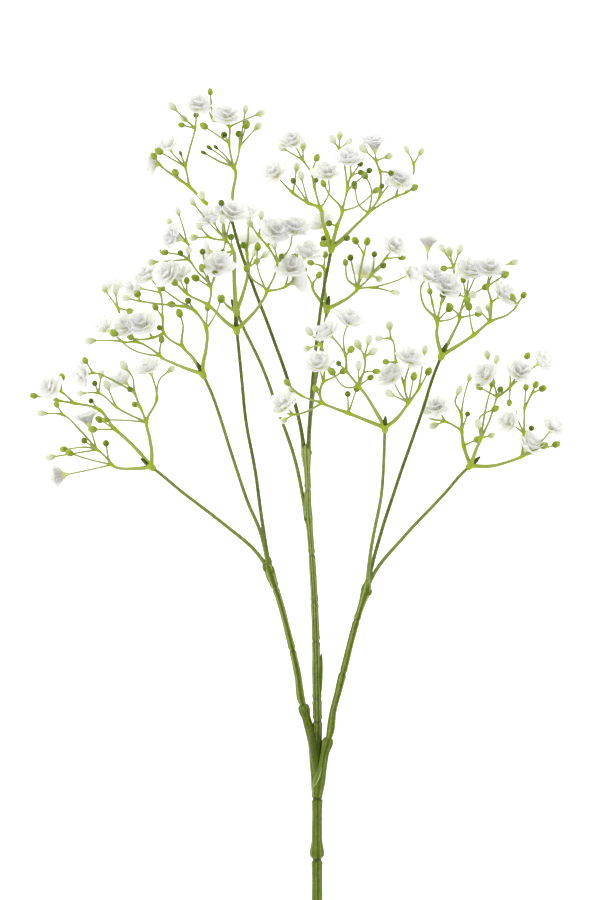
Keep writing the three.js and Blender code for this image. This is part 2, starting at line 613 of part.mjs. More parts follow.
const MAIN_STEM = [
  [STEM_X, CUT_END_Y, 2.05],
  [STEM_X, -192.6, 2.15],
  [STEM_X, -191, 2.8],
  [STEM_X, FOOT_RING_Y, FOOT_RING_RADIUS],
  [STEM_X, -188.4, 2.7],
  [STEM_X, -186.8, 2.1],
  [STEM_X, -169, STEM_RADIUS],
  [STEM_X, -167.6, 1.85],
  [STEM_X, -166.2, STEM_RADIUS],
  [STEM_X, -146, STEM_RADIUS],
  [STEM_X, -144.6, 1.85],
  [STEM_X, -143.2, STEM_RADIUS],
  [STEM_X, -111.4, STEM_RADIUS],
  [STEM_X, -110, 1.85],
  [STEM_X, -108.8, 2.6],
  [STEM_X, -107, FOOT_RING_RADIUS],
  [STEM_X, -105, 2.6],
  [STEM_X, -103.8, STEM_RADIUS],
  [STEM_X, -86.6, STEM_RADIUS],
  [STEM_X, -85.2, 1.9],
  [STEM_X, -83.6, STEM_RADIUS],
  [5.7, -66, 1.9],
  [5.9, -55.4, 1.8],
  [5.9, -54, 1.5],
  [5.9, -52.6, 1.8],
  [5.8, -46.4, 1.8],
  [5.7, -45, 1.5],
  [5.7, -43.6, 1.8],
  [5.3, -23.4, 1.75],
  [5.2, -22, 1.35],
  [5.1, -20.6, 1.7],
  [4.8, -7.4, 1.5],
  [4.7, -6, 1.15],
  [4.6, -4.6, 1.5],
  [3.6, 11.6, 1.4],
  [3.5, 13, 1.1],
  [3.4, 14.4, 1.4],
  [2.7, 23.5, 1.4],
  [2.3, 28, 1.9],
  [2.1, 31.5, 1.4],
  [2, 39, 1.15],
  [1.9, 40.6, 1.35],
  [1.5, 49.5, 1.35],
  [1.3, 53.5, 2.2],
  [1.3, 57, 1.8],
];

const LEFT_SOCKET = [
  [5.3, -82, 1.9], [4.8, -71, 2.1], [3.9, -62.5, 2], [2, -55, 1.8], [1, -51.5, 1.9],
  [0.4, -49.4, 2.25], [0, -47.6, 1.95],
];
const RIGHT_SOCKET = [
  [5.9, -84.4, 1.9], [6.6, -78, 2.5], [7.9, -71.5, 1.9], [9, -66, 1.8], [9.9, -62.8, 2.25],
  [10.4, -61, 1.95],
];
const LEFT_BRANCH = [
  [-0.6, -45.6, 1.35], [-2, -36, 1.35], [-3.9, -26.9, 1.3], [-4.2, -25.5, 1.05], [-4.6, -24.1, 1.35],
  [-6, -18, 1.3], [-9.5, -5, 1.25], [-10.9, -0.6, 1.05], [-11.5, 1, 1.4], [-13.3, 6, 2.1],
  [-14.1, 9.5, 1.6],
];
const RIGHT_BRANCH = [
  [10.9, -58.8, 1.35], [12.2, -50, 1.35], [14.2, -42, 1.35], [15.5, -36.5, 1.6], [16, -34.6, 1.2],
  [16.5, -33, 1.45], [19, -23, 1.35], [21.3, -14.4, 1.3], [21.7, -13, 1.05], [22.1, -11.6, 1.35],
  [24, -5.5, 1.5], [25.3, -1.5, 2.1], [26, 2, 1.6],
];

// Heights of the side sockets and branches above the surface, from root to collar.
const LEFT_RISE = { socket: [11.4, 13.2], branch: [13.35, 24] };
const RIGHT_RISE = { socket: [12.6, 15.2], branch: [15.35, 24] };

const STALKS = {
  main_stem: {
    spray_top_left: [[0.4, 54], [-0.5, 62], [-3.3, 74], [-12, 100], [-20, 121], [-26, 138]],
    spray_back_left: [[1.4, 27], [0, 36], [-4, 54], [-9.5, 69.5], [-17, 90], [-24, 104.5]],
    spray_top: [[2, 54], [3, 72], [4.5, 90], [8, 118]],
    spray_back: [[2.2, 54], [3.6, 74], [6.6, 92], [8.8, 106]],
  },
  left_branch: {
    spray_left_low: [[-14, 7.5], [-19, 14.5], [-30, 24], [-50, 39.5], [-56, 44.5]],
    spray_left_middle: [[-13.8, 7.5], [-17, 22], [-22, 34], [-29, 55], [-37, 79]],
    spray_left_high: [[-13.4, 7.5], [-16, 24], [-20, 52], [-22, 62], [-25, 90]],
  },
  right_branch: {
    spray_right_high: [[25.6, 0], [29, 14], [38, 43], [48, 72], [52.5, 86]],
    spray_right_middle: [[25.6, 0], [27, 14], [31.5, 40], [32.2, 54]],
    spray_right_low: [[25.7, 0], [28.5, 5.5], [42, 22], [58, 39], [64, 46]],
  },
};

// ---------------------------------------------------------------------------------------------------
// Pieces
// ---------------------------------------------------------------------------------------------------

// Points of a flat route raised evenly by length from one height to another.
function raised(flat, from, to) {
  const lengths = [0];
  for (let i = 1; i < flat.length; i += 1) {
    const [[x0, y0], [x1, y1]] = [flat[i - 1], flat[i]];
    lengths.push(lengths[i - 1] + Math.hypot(x1 - x0, y1 - y0));
  }
  const total = lengths[flat.length - 1];
  return flat.map(([x, y], i) => point(x, y, from + ((to - from) * lengths[i]) / total));
}

// A stem part's stations from its [x, y, radius] list and the heights of its two ends.
function stations(list, from, to) {
  return raised(list, from, to).map((at, i) => ({ at, radius: list[i][2] }));
}

// The collar's height on the node that a stalk grows from.
const collarHeight = {
  main_stem: ([, y]) => stemHeight(y),
  left_branch: () => LEFT_RISE.branch[1],
  right_branch: () => RIGHT_RISE.branch[1],
};

// A stalk's points from its collar through its spray's hub to its bare tip.
function stalkPoints(node, spray, flat) {
  const [x, y, z] = SPRAYS[spray].hub;
  const points = raised([...flat, [x, y]], collarHeight[node](flat[0]), z);
  const hub = points[points.length - 1];
  const along = hub.clone().sub(points[points.length - 2]).normalize();
  return { points: [...points, hub.clone().addScaledVector(along, TIP_LENGTH)], hub, along };
}

function stalk(node, spray, flat) {
  const { points } = stalkPoints(node, spray, flat);
  const hubAt = points.length - 2;
  return limb(points.map((at, i) => {
    const share = Math.min(1, i / hubAt);
    return { at, radius: THREE.MathUtils.lerp(STALK_FOOT_RADIUS, STALK_TOP_RADIUS, share) };
  }), STALK_SIDES);
}

const stalksOf = (node) => (
  Object.entries(STALKS[node]).map(([spray, flat]) => stalk(node, spray, flat))
);

// The stations of a straight limb of one radius, from a point to reaches along a direction.
const straight = (from, along, reaches, radius) => (
  reaches.map((reach) => ({ at: from.clone().addScaledVector(along, reach), radius }))
);

// The middle of a socket's top, and the direction that it opens in.
function mouthOf(socket) {
  const top = socket[socket.length - 1].at;
  return { top, along: top.clone().sub(socket[socket.length - 2].at).normalize() };
}

// The blind hole in a socket's top, along its last stretch, with room for the plug.
function socketHole(socket) {
  const { top, along } = mouthOf(socket);
  const reaches = [-SOCKET_DEPTH, SOCKET_CUT_PAST];
  return limb(straight(top, along, reaches, SOCKET_HOLE_RADIUS), STEM_SIDES);
}

// The plug at a branch's foot, which stands in the socket clear of its floor and wall.
function plugStations(socket) {
  const { top, along } = mouthOf(socket);
  return straight(top, along, [PLUG_FLOOR_GAP - SOCKET_DEPTH, PLUG_PAST], PLUG_RADIUS);
}

const leftSocket = stations(LEFT_SOCKET, ...LEFT_RISE.socket);
const rightSocket = stations(RIGHT_SOCKET, ...RIGHT_RISE.socket);

function mainStem() {
  const shaft = MAIN_STEM.map(([x, y, radius]) => ({ at: point(x, y, stemHeight(y)), radius }));
  const limbs = [shaft, leftSocket, rightSocket].map((list) => limb(list, STEM_SIDES));
  const whole = join([...limbs, ...stalksOf('main_stem')]);
  return laidOnSurface(whole.subtract(join([leftSocket, rightSocket].map(socketHole))));
}

function sideBranch(node, socket, list, rise) {
  const shaft = [...plugStations(socket), ...stations(list, ...rise)];
  return laidOnSurface(join([limb(shaft, STEM_SIDES), ...stalksOf(node)]));
}

// The bead that a spray's arms grow from, along the stalk that runs through it.
function hubBead(hub, along) {
  const bead = HUB_PROFILE.map(([reach, radius]) => (
    { at: hub.clone().addScaledVector(along, reach), radius }
  ));
  return limb(bead, HUB_SIDES);
}

const hubHole = (hub, along) => limb(straight(hub, along, HUB_HOLE_REACH, HUB_HOLE_RADIUS), HUB_SIDES);

// The limbs of a spray as { end, points, thick }. A route grows from the nearest point that is already
// there, and the first route from a bare twig's end carries that twig on.
function limbsOf(hub, routes) {
  const limbs = [];
  const grown = [hub];
  for (const { end, lift, points: flat } of routes) {
    const [x, y] = flat[0];
    const reach = (other) => Math.hypot(other.x - x, other.y - y);
    const root = grown.reduce((nearest, other) => (reach(other) < reach(nearest) ? other : nearest));
    const points = raised([[root.x, root.y], ...flat.slice(1)], root.z, root.z + lift).slice(1);
    grown.push(...points);
    const endsAtRoot = (other) => other.points[other.points.length - 1] === root;
    const bare = limbs.find((other) => other.end === 'twig' && endsAtRoot(other));
    if (bare) {
      bare.points.push(...points);
      bare.end = end;
    } else {
      limbs.push({ end, points: [root, ...points], thick: root === hub });
    }
  }
  return limbs;
}

// A route's points without those that it passes nearly straight.
function straightened(points) {
  const kept = [points[0]];
  for (let i = 1; i + 1 < points.length; i += 1) {
    const line = new THREE.Line3(kept[kept.length - 1], points[i + 1]);
    const nearest = line.closestPointToPoint(points[i], true, point(0, 0, 0));
    if (nearest.distanceTo(points[i]) > BEND_KEPT) kept.push(points[i]);
  }
  return [...kept, points[points.length - 1]];
}

// A spray's limb as a solid, with the bud or bloom that it ends in.
function limbSolid({ end, points, thick }) {
  const line = straightened(points);
  const last = line.length - 1;
  const [root, next, tip] = [line[0], line[1], line[last]];
  const along = tip.clone().sub(line[last - 1]).normalize();
  const foot = thick ? ARM_RADIUS : TWIG_RADIUS;
  const body = line.slice(1).map((at, i) => (
    { at, radius: THREE.MathUtils.lerp(foot, TWIG_RADIUS, (i + 1) / last) }
  ));
  const start = [
    { at: root, radius: 0 },
    { at: root.clone().lerp(next, ROOT_LENGTH / root.distanceTo(next)), radius: foot },
  ];
  if (end === 'twig') return limb([...start, ...body], TWIG_SIDES);
  const stem = [...start, ...body.slice(0, -1)];
  if (end === 'bloom' || end === 'trumpet') {
    const tilt = end === 'trumpet' || along.z < STEEP_FALL ? 0 : BLOOM_TILT;
    const facing = along.clone().add(point(0, 0, tilt)).normalize();
    const calyx = { at: tip.clone().addScaledVector(facing, -BLOOM_DEPTH), radius: TWIG_RADIUS };
    return bloomLimb([...stem, calyx], facing, TWIG_SIDES);
  }
  const half = BUD_LENGTH[end] / 2;
  const bud = [[-half, TWIG_RADIUS], [BUD_WIDEST * half, BUD_RADIUS[end]], [half, 0]];
  const knob = bud.map(([reach, radius]) => ({ at: tip.clone().addScaledVector(along, reach), radius }));
  return limb([...stem, ...knob], TWIG_SIDES);
}

function spray(name, node, flat) {
  const { hub, along } = stalkPoints(node, name, flat);
  const limbs = limbsOf(hub, SPRAYS[name].routes).map(limbSolid);
  const whole = join([hubBead(hub, along), ...limbs]);
  return laidOnSurface(whole.subtract(hubHole(hub, along)));
}

// ---------------------------------------------------------------------------------------------------
// The stem and its sprays
// ---------------------------------------------------------------------------------------------------

const stemPlastic = new THREE.MeshStandardMaterial({ color: 0x5f7323, roughness: 0.55, metalness: 0 });
const branchPlastic = new THREE.MeshStandardMaterial({ color: 0x667a2a, roughness: 0.55, metalness: 0 });
const sprayPlastic = new THREE.MeshStandardMaterial({ color: 0xc3d68c, roughness: 0.5, metalness: 0 });

const left = sideBranch('left_branch', leftSocket, LEFT_BRANCH, LEFT_RISE.branch);
const right = sideBranch('right_branch', rightSocket, RIGHT_BRANCH, RIGHT_RISE.branch);
const stem = new THREE.Group();
stem.add(meshOf('main_stem', mainStem(), stemPlastic));
stem.add(meshOf('left_branch', left, branchPlastic));
stem.add(meshOf('right_branch', right, branchPlastic));
for (const [node, stalks] of Object.entries(STALKS)) {
  for (const [name, flat] of Object.entries(stalks)) {
    stem.add(meshOf(name, spray(name, node, flat), sprayPlastic));
  }
}

export default stem;
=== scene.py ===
"""Looks of an artificial gypsophila stem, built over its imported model.

A moulded green stem forks in three. Ten stalks leave its collars, and each carries a spray: a bead
with branching twigs that end in round buds and in small double blooms of white cloth. Shapes are
worked out in millimetres and go into Blender in metres. +Y runs from the cut end to the tips, and
+Z up from the surface that the stem lies on.
"""

import logging
import math
import random
from collections.abc import Sequence
from dataclasses import dataclass, field
from enum import Enum
from functools import partial

import bpy
import numpy as np
from mathutils import Matrix, Vector


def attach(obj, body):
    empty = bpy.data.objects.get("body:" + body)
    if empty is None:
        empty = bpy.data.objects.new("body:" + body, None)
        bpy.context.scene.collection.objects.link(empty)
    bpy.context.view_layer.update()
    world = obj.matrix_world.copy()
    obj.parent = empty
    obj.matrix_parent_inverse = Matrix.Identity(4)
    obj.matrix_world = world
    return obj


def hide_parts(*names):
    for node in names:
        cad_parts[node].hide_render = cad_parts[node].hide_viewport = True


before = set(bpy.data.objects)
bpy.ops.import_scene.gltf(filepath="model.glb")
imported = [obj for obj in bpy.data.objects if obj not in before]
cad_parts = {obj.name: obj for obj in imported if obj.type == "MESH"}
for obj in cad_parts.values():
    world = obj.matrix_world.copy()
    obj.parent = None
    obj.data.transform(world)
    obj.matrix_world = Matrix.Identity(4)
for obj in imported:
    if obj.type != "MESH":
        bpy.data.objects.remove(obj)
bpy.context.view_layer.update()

LOG = logging.getLogger("gypsophila")
MM = 0.001

Spot = tuple[float, float]
Place = tuple[float, float, float]
Paint = tuple[float, float, float, float]


# -------------------- Shader maths --------------------


def paint(red: int, green: int, blue: int) -> Paint:
    """A paint colour from 0 to 255 as the linear numbers that a shader takes.

    Args:
        red: red, 0 to 255.
        green: green, 0 to 255.
        blue: blue, 0 to 255.

    Returns:
        Linear red, green and blue, and an alpha of 1.
    """
    def linear(level: float) -> float:
        """One channel without its gamma."""
        return level / 12.92 if level <= 0.04045 else ((level + 0.055) / 1.055) ** 2.4

    return (linear(red / 255), linear(green / 255), linear(blue / 255), 1.0)


class Value:
    """An output of a material's node, for sums and products written as Python expressions."""

    def __init__(self, surface: "Surface", socket: bpy.types.NodeSocket) -> None:
        """Keeps the surface and the socket that the value comes from."""
        self.surface = surface
        self.socket = socket

    def worked(self, operation: str, first: "Value | float", second: "Value | float") -> "Value":
        """A Math node of two values.

        Args:
            operation: the Math node's operation.
            first: its first value.
            second: its second value.

        Returns:
            The node's output.
        """
        return self.surface.node("ShaderNodeMath", {"operation": operation}, {0: first, 1: second})

    def __add__(self, other: "Value | float") -> "Value":
        """self + other."""
        return self.worked("ADD", self, other)

    __radd__ = __add__

    def __sub__(self, other: "Value | float") -> "Value":
        """self - other."""
        return self.worked("SUBTRACT", self, other)

    def __rsub__(self, other: float) -> "Value":
        """other - self."""
        return self.worked("SUBTRACT", other, self)

    def __mul__(self, other: "Value | float") -> "Value":
        """self * other."""
        return self.worked("MULTIPLY", self, other)

    __rmul__ = __mul__


class Surface:
    """A material that is built up from nodes, and what its shader reads from the mesh."""

    def __init__(self, name: str) -> None:
        """Makes an empty material.

        Args:
            name: its name.
        """
        self.material = bpy.data.materials.new(name)
        self.material.use_nodes = True
        self.tree = self.material.node_tree
        self.tree.nodes.clear()

    def node(
        self,
        kind: str,
        settings: dict[str, object] | None = None,
        sockets: dict[int | str, object] | None = None,
        output: int | str = 0,
    ) -> Value:
        """Adds a node.

        Args:
            kind: the node's type.
            settings: its properties, set first; "stops" are a ramp's (position, colour) pairs.
            sockets: a number, colour or Value for each input, by name or index.
            output: the output to return.

        Returns:
            That output, for further expressions.
        """
        made = self.tree.nodes.new(kind)
        for key, setting in (settings or {}).items():
            if key != "stops":
                setattr(made, key, setting)
                continue
            elements = made.color_ramp.elements
            while len(elements) < len(setting):
                elements.new(1.0)
            for element, (position, colour) in zip(elements, setting):
                element.position = position
                element.color = colour
        for key, given in (sockets or {}).items():
            if isinstance(given, Value):
                self.tree.links.new(given.socket, made.inputs[key])
            else:
                made.inputs[key].default_value = given
        return Value(self, made.outputs[output] if made.outputs else None)

    def reading(self, name: str) -> Value:
        """The number that the mesh keeps at each corner under that name."""
        return self.node("ShaderNodeAttribute", {"attribute_name": name}, output="Fac")

    def grain(self) -> Value:
        """Coordinates that run round and along each limb, so that a pattern follows it."""
        return self.node("ShaderNodeAttribute", {"attribute_name": "grain"}, output="Vector")

    def place(self) -> Value:
        """The place on the object, in metres."""
        return self.node("ShaderNodeTexCoord", output="Object")

    def noise(self, where: Value, scale: float, detail: float = 3.0) -> Value:
        """A noise pattern.

        Args:
            where: its coordinates.
            scale: its scale.
            detail: how many finer layers it has.

        Returns:
            Its strength, about 0.5 on average.
        """
        sockets = {"Vector": where, "Scale": scale, "Detail": detail}
        return self.node("ShaderNodeTexNoise", None, sockets)

    def step(self, value: Value, low: float, high: float) -> Value:
        """A soft step.

        Args:
            value: the value to sort.
            low: where the step starts.
            high: where it ends.

        Returns:
            0 below low, 1 above high.
        """
        settings = {"interpolation_type": "SMOOTHSTEP"}
        sockets = {"Value": value, "From Min": low, "From Max": high}
        return self.node("ShaderNodeMapRange", settings, sockets)

    def blend(self, share: Value | float, first: Value | Paint, second: Value | Paint) -> Value:
        """A mix of two colours.

        Args:
            share: how much of the second shows, 0 to 1.
            first: the first colour.
            second: the second colour.

        Returns:
            The mixed colour.
        """
        colour_a, colour_b, colour_out = 6, 7, 2
        sockets = {0: share, colour_a: first, colour_b: second}
        return self.node("ShaderNodeMix", {"data_type": "RGBA"}, sockets, colour_out)

    def bump(self, height: Value, strength: float, depth: float) -> Value:
        """Fine relief.

        Args:
            height: the relief, 0 to 1.
            strength: how much of it shows.
            depth: its depth in metres.

        Returns:
            The normal for a shader.
        """
        sockets = {"Height": height, "Strength": strength, "Distance": depth}
        return self.node("ShaderNodeBump", None, sockets)

    def output(self, shader: Value) -> bpy.types.Material:
        """Ends the material in a shader and returns it."""
        self.node("ShaderNodeOutputMaterial", None, {"Surface": shader})
        return self.material


# -------------------- Finishes --------------------


@dataclass(frozen=True)
class StemPlastic:
    """Moulded olive plastic with long streaks and a paler skin on its ridges, and painted shade in its
    ring grooves and its fork.

    Args:
        dark: the colour of its dark streaks, and of the painted shade in its grooves and its fork.
        body: its main colour.
        light: the colour of the skin on its ridges.
        roughness: where it is smoothest.
        streak_scale: how close its broad streaks are.
        fibre_scale: how close its fine streaks are.
        mottle_scale: how close its specks are.
        relief_depth: the depth of its fine relief, in metres.
    """

    dark: Paint = paint(64, 79, 0)
    body: Paint = paint(107, 128, 0)
    light: Paint = paint(172, 184, 104)
    roughness: float = 0.3
    streak_scale: float = 2.6
    fibre_scale: float = 9.0
    mottle_scale: float = 900.0
    relief_depth: float = 0.0002

    def material(self, name: str) -> bpy.types.Material:
        """Builds the plastic's material.

        Args:
            name: the material's name.

        Returns:
            The material.
        """
        surface = Surface(name)
        streak = surface.noise(surface.grain(), self.streak_scale, detail=4.0)
        fibre = surface.noise(surface.grain(), self.fibre_scale)
        mottle = surface.noise(surface.place(), self.mottle_scale)
        # tone brings the ridges and, lowered, the painted shade in the ring grooves and the fork; the pale
        # skin is lowered there too
        ridge = surface.reading("tone")
        worn = surface.reading("pale")
        shade = surface.step(streak * 0.3 + fibre * 0.3 + mottle * 0.35 + ridge * 0.5, 0.4, 0.95)
        colour = surface.blend(shade, self.dark, self.body)
        skin = surface.step(fibre * 0.6 + mottle * 0.3 + worn * 0.8, 0.55, 1.15)
        colour = surface.blend(skin, colour, self.light)
        relief = surface.bump(fibre * 0.6 + mottle * 0.4, 0.35, self.relief_depth)
        sockets = {
            "Base Color": colour,
            "Roughness": self.roughness + mottle * 0.2,
            "Normal": relief,
            "Specular IOR Level": 0.3,
        }
        return surface.output(surface.node("ShaderNodeBsdfPrincipled", None, sockets))


@dataclass(frozen=True)
class SprayPlastic:
    """Softer yellow-green plastic: greyer along thin twigs, bright at the joints, cream at the calyxes.

    Args:
        twig: the colour of thin twigs.
        joint: the colour of joints and arms.
        cream: the colour of the calyxes' rims.
        roughness: where it is smoothest.
        mottle_scale: how close its specks are.
        streak_scale: how close its streaks are.
        relief_depth: the depth of its fine relief, in metres.
    """

    twig: Paint = paint(166, 177, 100)
    joint: Paint = paint(168, 191, 28)
    cream: Paint = paint(220, 226, 156)
    roughness: float = 0.45
    mottle_scale: float = 700.0
    streak_scale: float = 3.0
    relief_depth: float = 0.00012

    def material(self, name: str) -> bpy.types.Material:
        """Builds the plastic's material.

        Args:
            name: the material's name.

        Returns:
            The material.
        """
        surface = Surface(name)
        mottle = surface.noise(surface.place(), self.mottle_scale)
        streak = surface.noise(surface.grain(), self.streak_scale)
        joint = surface.step(surface.reading("tone") + mottle * 0.3, 0.3, 1.0)
        colour = surface.blend(joint, self.twig, self.joint)
        cream = surface.step(surface.reading("pale") + streak * 0.3, 0.3, 1.1)
        colour = surface.blend(cream, colour, self.cream)
        sockets = {
            "Base Color": colour,
            "Roughness": self.roughness + streak * 0.15,
            "Normal": surface.bump(streak * 0.5 + mottle * 0.5, 0.3, self.relief_depth),
            "Specular IOR Level": 0.25,
        }
        return surface.output(surface.node("ShaderNodeBsdfPrincipled", None, sockets))


@dataclass(frozen=True)
class BudSkin:
    """Skin of a moulded bud, which changes from its foot to its tip.

    Args:
        foot: the colour at its foot.
        tip: the colour at its tip.
        fleck: the colour of its flecks.
        roughness: where it is smoothest.
        mottle_scale: how close its flecks are.
        relief_depth: the depth of its fine relief, in metres.
    """

    foot: Paint
    tip: Paint
    fleck: Paint
    roughness: float
    mottle_scale: float = 1100.0
    relief_depth: float = 0.00015

    def material(self, name: str) -> bpy.types.Material:
        """Builds the skin's material.

        Args:
            name: the material's name.

        Returns:
            The material.
        """
        surface = Surface(name)
        mottle = surface.noise(surface.place(), self.mottle_scale)
        height = surface.reading("tone")
        colour = surface.blend(surface.step(height + mottle * 0.3, 0.2, 0.9), self.foot, self.tip)
        colour = surface.blend(surface.step(mottle, 0.52, 0.75), colour, self.fleck)
        sockets = {
            "Base Color": colour,
            "Roughness": self.roughness + mottle * 0.15,
            "Normal": surface.bump(mottle, 0.25, self.relief_depth),
            "Specular IOR Level": 0.3,
        }
        return surface.output(surface.node("ShaderNodeBsdfPrincipled", None, sockets))


@dataclass(frozen=True)
class PetalCloth:
    """Thin white cloth, pressed into petals: a fine weave, soft creases and a cream throat.

    Args:
        white: its main colour.
        throat: the colour at a petal's foot.
        crease: the colour of the painted shade in its creases.
        roughness: where it is smoothest.
        let_through: the share of the light that it lets through.
        crumple_scale: how close its creases are.
        weave_scale: how close its threads are.
        relief_depth: the depth of its fine relief, in metres.
    """

    white: Paint = paint(253, 253, 252)
    throat: Paint = paint(249, 246, 232)
    crease: Paint = paint(251, 251, 251)
    roughness: float = 0.75
    let_through: float = 0.78
    crumple_scale: float = 480.0
    weave_scale: float = 1900.0
    relief_depth: float = 0.0005

    def material(self, name: str) -> bpy.types.Material:
        """Builds the cloth's material.

        Args:
            name: the material's name.

        Returns:
            The material.
        """
        surface = Surface(name)
        place = surface.place()
        crumple = surface.noise(place, self.crumple_scale)
        weave = surface.noise(place, self.weave_scale, detail=2.0)
        throat = surface.step(1 - surface.reading("tone") + crumple * 0.2, 0.78, 1.15)
        # painted shade: a hair darker, cooler colour in the hollows of the crumple
        colour = surface.blend(surface.step(crumple, 0.35, 0.65), self.crease, self.white)
        colour = surface.blend(throat, colour, self.throat)
        relief = surface.bump(crumple * 0.8 + weave * 0.2, 0.3, self.relief_depth)
        sockets = {
            "Base Color": colour,
            "Roughness": self.roughness + weave * 0.1,
            "Normal": relief,
            "Specular IOR Level": 0.2,
        }
        cloth = surface.node("ShaderNodeBsdfPrincipled", None, sockets)
        behind = surface.node("ShaderNodeBsdfTranslucent", None, {"Color": colour, "Normal": relief})
        shaders = {0: self.let_through, 1: cloth, 2: behind}
        return surface.output(surface.node("ShaderNodeMixShader", None, shaders))


@dataclass(frozen=True)
class PaleFloor:
    """Smooth pale sheet that is lit from below, so that it lights what lies on it from its sides.

    Args:
        white: its colour.
        glow: the strength of the light from below.
    """

    white: Paint = paint(253, 253, 253)
    glow: float = 0.9

    def material(self, name: str) -> bpy.types.Material:
        """Builds the floor's material.

        Args:
            name: the material's name.

        Returns:
            The material.
        """
        surface = Surface(name)
        sockets = {
            "Base Color": self.white,
            "Roughness": 0.9,
            "Specular IOR Level": 0.1,
            "Emission Color": self.white,
            "Emission Strength": self.glow,
        }
        return surface.output(surface.node("ShaderNodeBsdfPrincipled", None, sockets))


# -------------------- Shapes --------------------


def unit(vector: np.ndarray) -> np.ndarray:
    """The vector at a length of one."""
    return vector / np.linalg.norm(vector)


def bell(distance: np.ndarray, width: float) -> np.ndarray:
    """A smooth hump over distances: 1 at none, and nearly 0 from twice the width on."""
    return np.exp(-((distance / width) ** 2))


def corner_angles(sides: int) -> np.ndarray:
    """The angles of that many corners, evenly spaced round a limb."""
    return np.linspace(0, 2 * math.pi, sides, endpoint=False)


STEEP = 0.9  # the upward share of a direction from which it counts as upright


@dataclass
class Path:
    """A smooth route in millimetres.

    Args:
        points: points along it, close together.
        marks: the distance along it of each point that it was given.
    """

    points: np.ndarray
    marks: np.ndarray

    @classmethod
    def through(cls, given: Sequence[Sequence[float]], step: float) -> "Path":
        """A smooth route through points.

        Args:
            given: the points.
            step: about how far apart its own points are.

        Returns:
            The route.
        """
        given = np.asarray(given, float)
        chords = np.linalg.norm(np.diff(given, axis=0), axis=1)
        slopes = np.diff(given, axis=0) / chords[:, None]
        tangents = np.concatenate([slopes[:1], slopes])
        if len(given) > 2:
            share = (chords[1:] / (chords[1:] + chords[:-1]))[:, None]
            tangents[1:-1] = slopes[:-1] * share + slopes[1:] * (1 - share)
            tangents[0] = 1.5 * slopes[0] - 0.5 * tangents[1]
            tangents[-1] = 1.5 * slopes[-1] - 0.5 * tangents[-2]
        rows, marks = [given[:1]], [0]
        for i, chord in enumerate(chords):
            t = np.linspace(0, 1, max(1, math.ceil(chord / step)) + 1)[1:, None]
            rows.append(
                given[i] * (2 * t**3 - 3 * t**2 + 1)
                + given[i + 1] * (3 * t**2 - 2 * t**3)
                + tangents[i] * chord * (t**3 - 2 * t**2 + t)
                + tangents[i + 1] * chord * (t**3 - t**2)
            )
            marks.append(marks[-1] + len(t))
        points = np.concatenate(rows)
        path = cls(points, np.zeros(0))
        path.marks = path.distances()[marks]
        return path

    def distances(self) -> np.ndarray:
        """The distance along the route of each of its points."""
        steps = np.linalg.norm(np.diff(self.points, axis=0), axis=1)
        return np.concatenate([[0.0], np.cumsum(steps)])

    def frames(self) -> tuple[np.ndarray, np.ndarray, np.ndarray]:
        """The directions along, across and to the side at each point, which turn as little as they can.

        Returns:
            Three rows of directions at right angles.
        """
        gaps = np.gradient(self.points, axis=0)
        along = gaps / np.linalg.norm(gaps, axis=1)[:, None]
        start = np.array([0.0, 0.0, 1.0] if abs(along[0][2]) < STEEP else [1.0, 0.0, 0.0])
        across = np.empty_like(along)
        for i, direction in enumerate(along):
            start = unit(start - direction * (start @ direction))
            across[i] = start
        return along, across, np.cross(along, across)


@dataclass
class Shell:
    """A closed shape and what its finish reads from it.

    Args:
        corners: its corners in millimetres.
        faces: the corners of each face.
        tone: a number for each corner.
        pale: another.
        grain: coordinates round and along it, for each corner.
        finish: which of its piece's finishes it wears.
    """

    corners: np.ndarray
    faces: list[tuple[int, ...]]
    tone: np.ndarray
    pale: np.ndarray
    grain: np.ndarray
    finish: int = 0

    def mesh(self, name: str) -> bpy.types.Mesh:
        """The shell as a mesh in millimetres, with its readings at each face's corners.

        Args:
            name: the mesh's name.

        Returns:
            The mesh.
        """
        mesh = bpy.data.meshes.new(name)
        mesh.from_pydata(self.corners.tolist(), [], self.faces)
        corner_of = np.empty(len(mesh.loops), np.int32)
        mesh.loops.foreach_get("vertex_index", corner_of)
        for key, values in (("tone", self.tone), ("pale", self.pale)):
            reading = mesh.attributes.new(key, "FLOAT", "CORNER")
            reading.data.foreach_set("value", values[corner_of].astype(np.float32))
        reading = mesh.attributes.new("grain", "FLOAT_VECTOR", "CORNER")
        reading.data.foreach_set("vector", self.grain[corner_of].astype(np.float32).ravel())
        return mesh


GRAIN_LENGTH = 30.0  # millimetres of a limb that count as one unit of its grain
TURNED_DOME = 0.4  # how far a turned shape's ends bulge, as a share of their radius


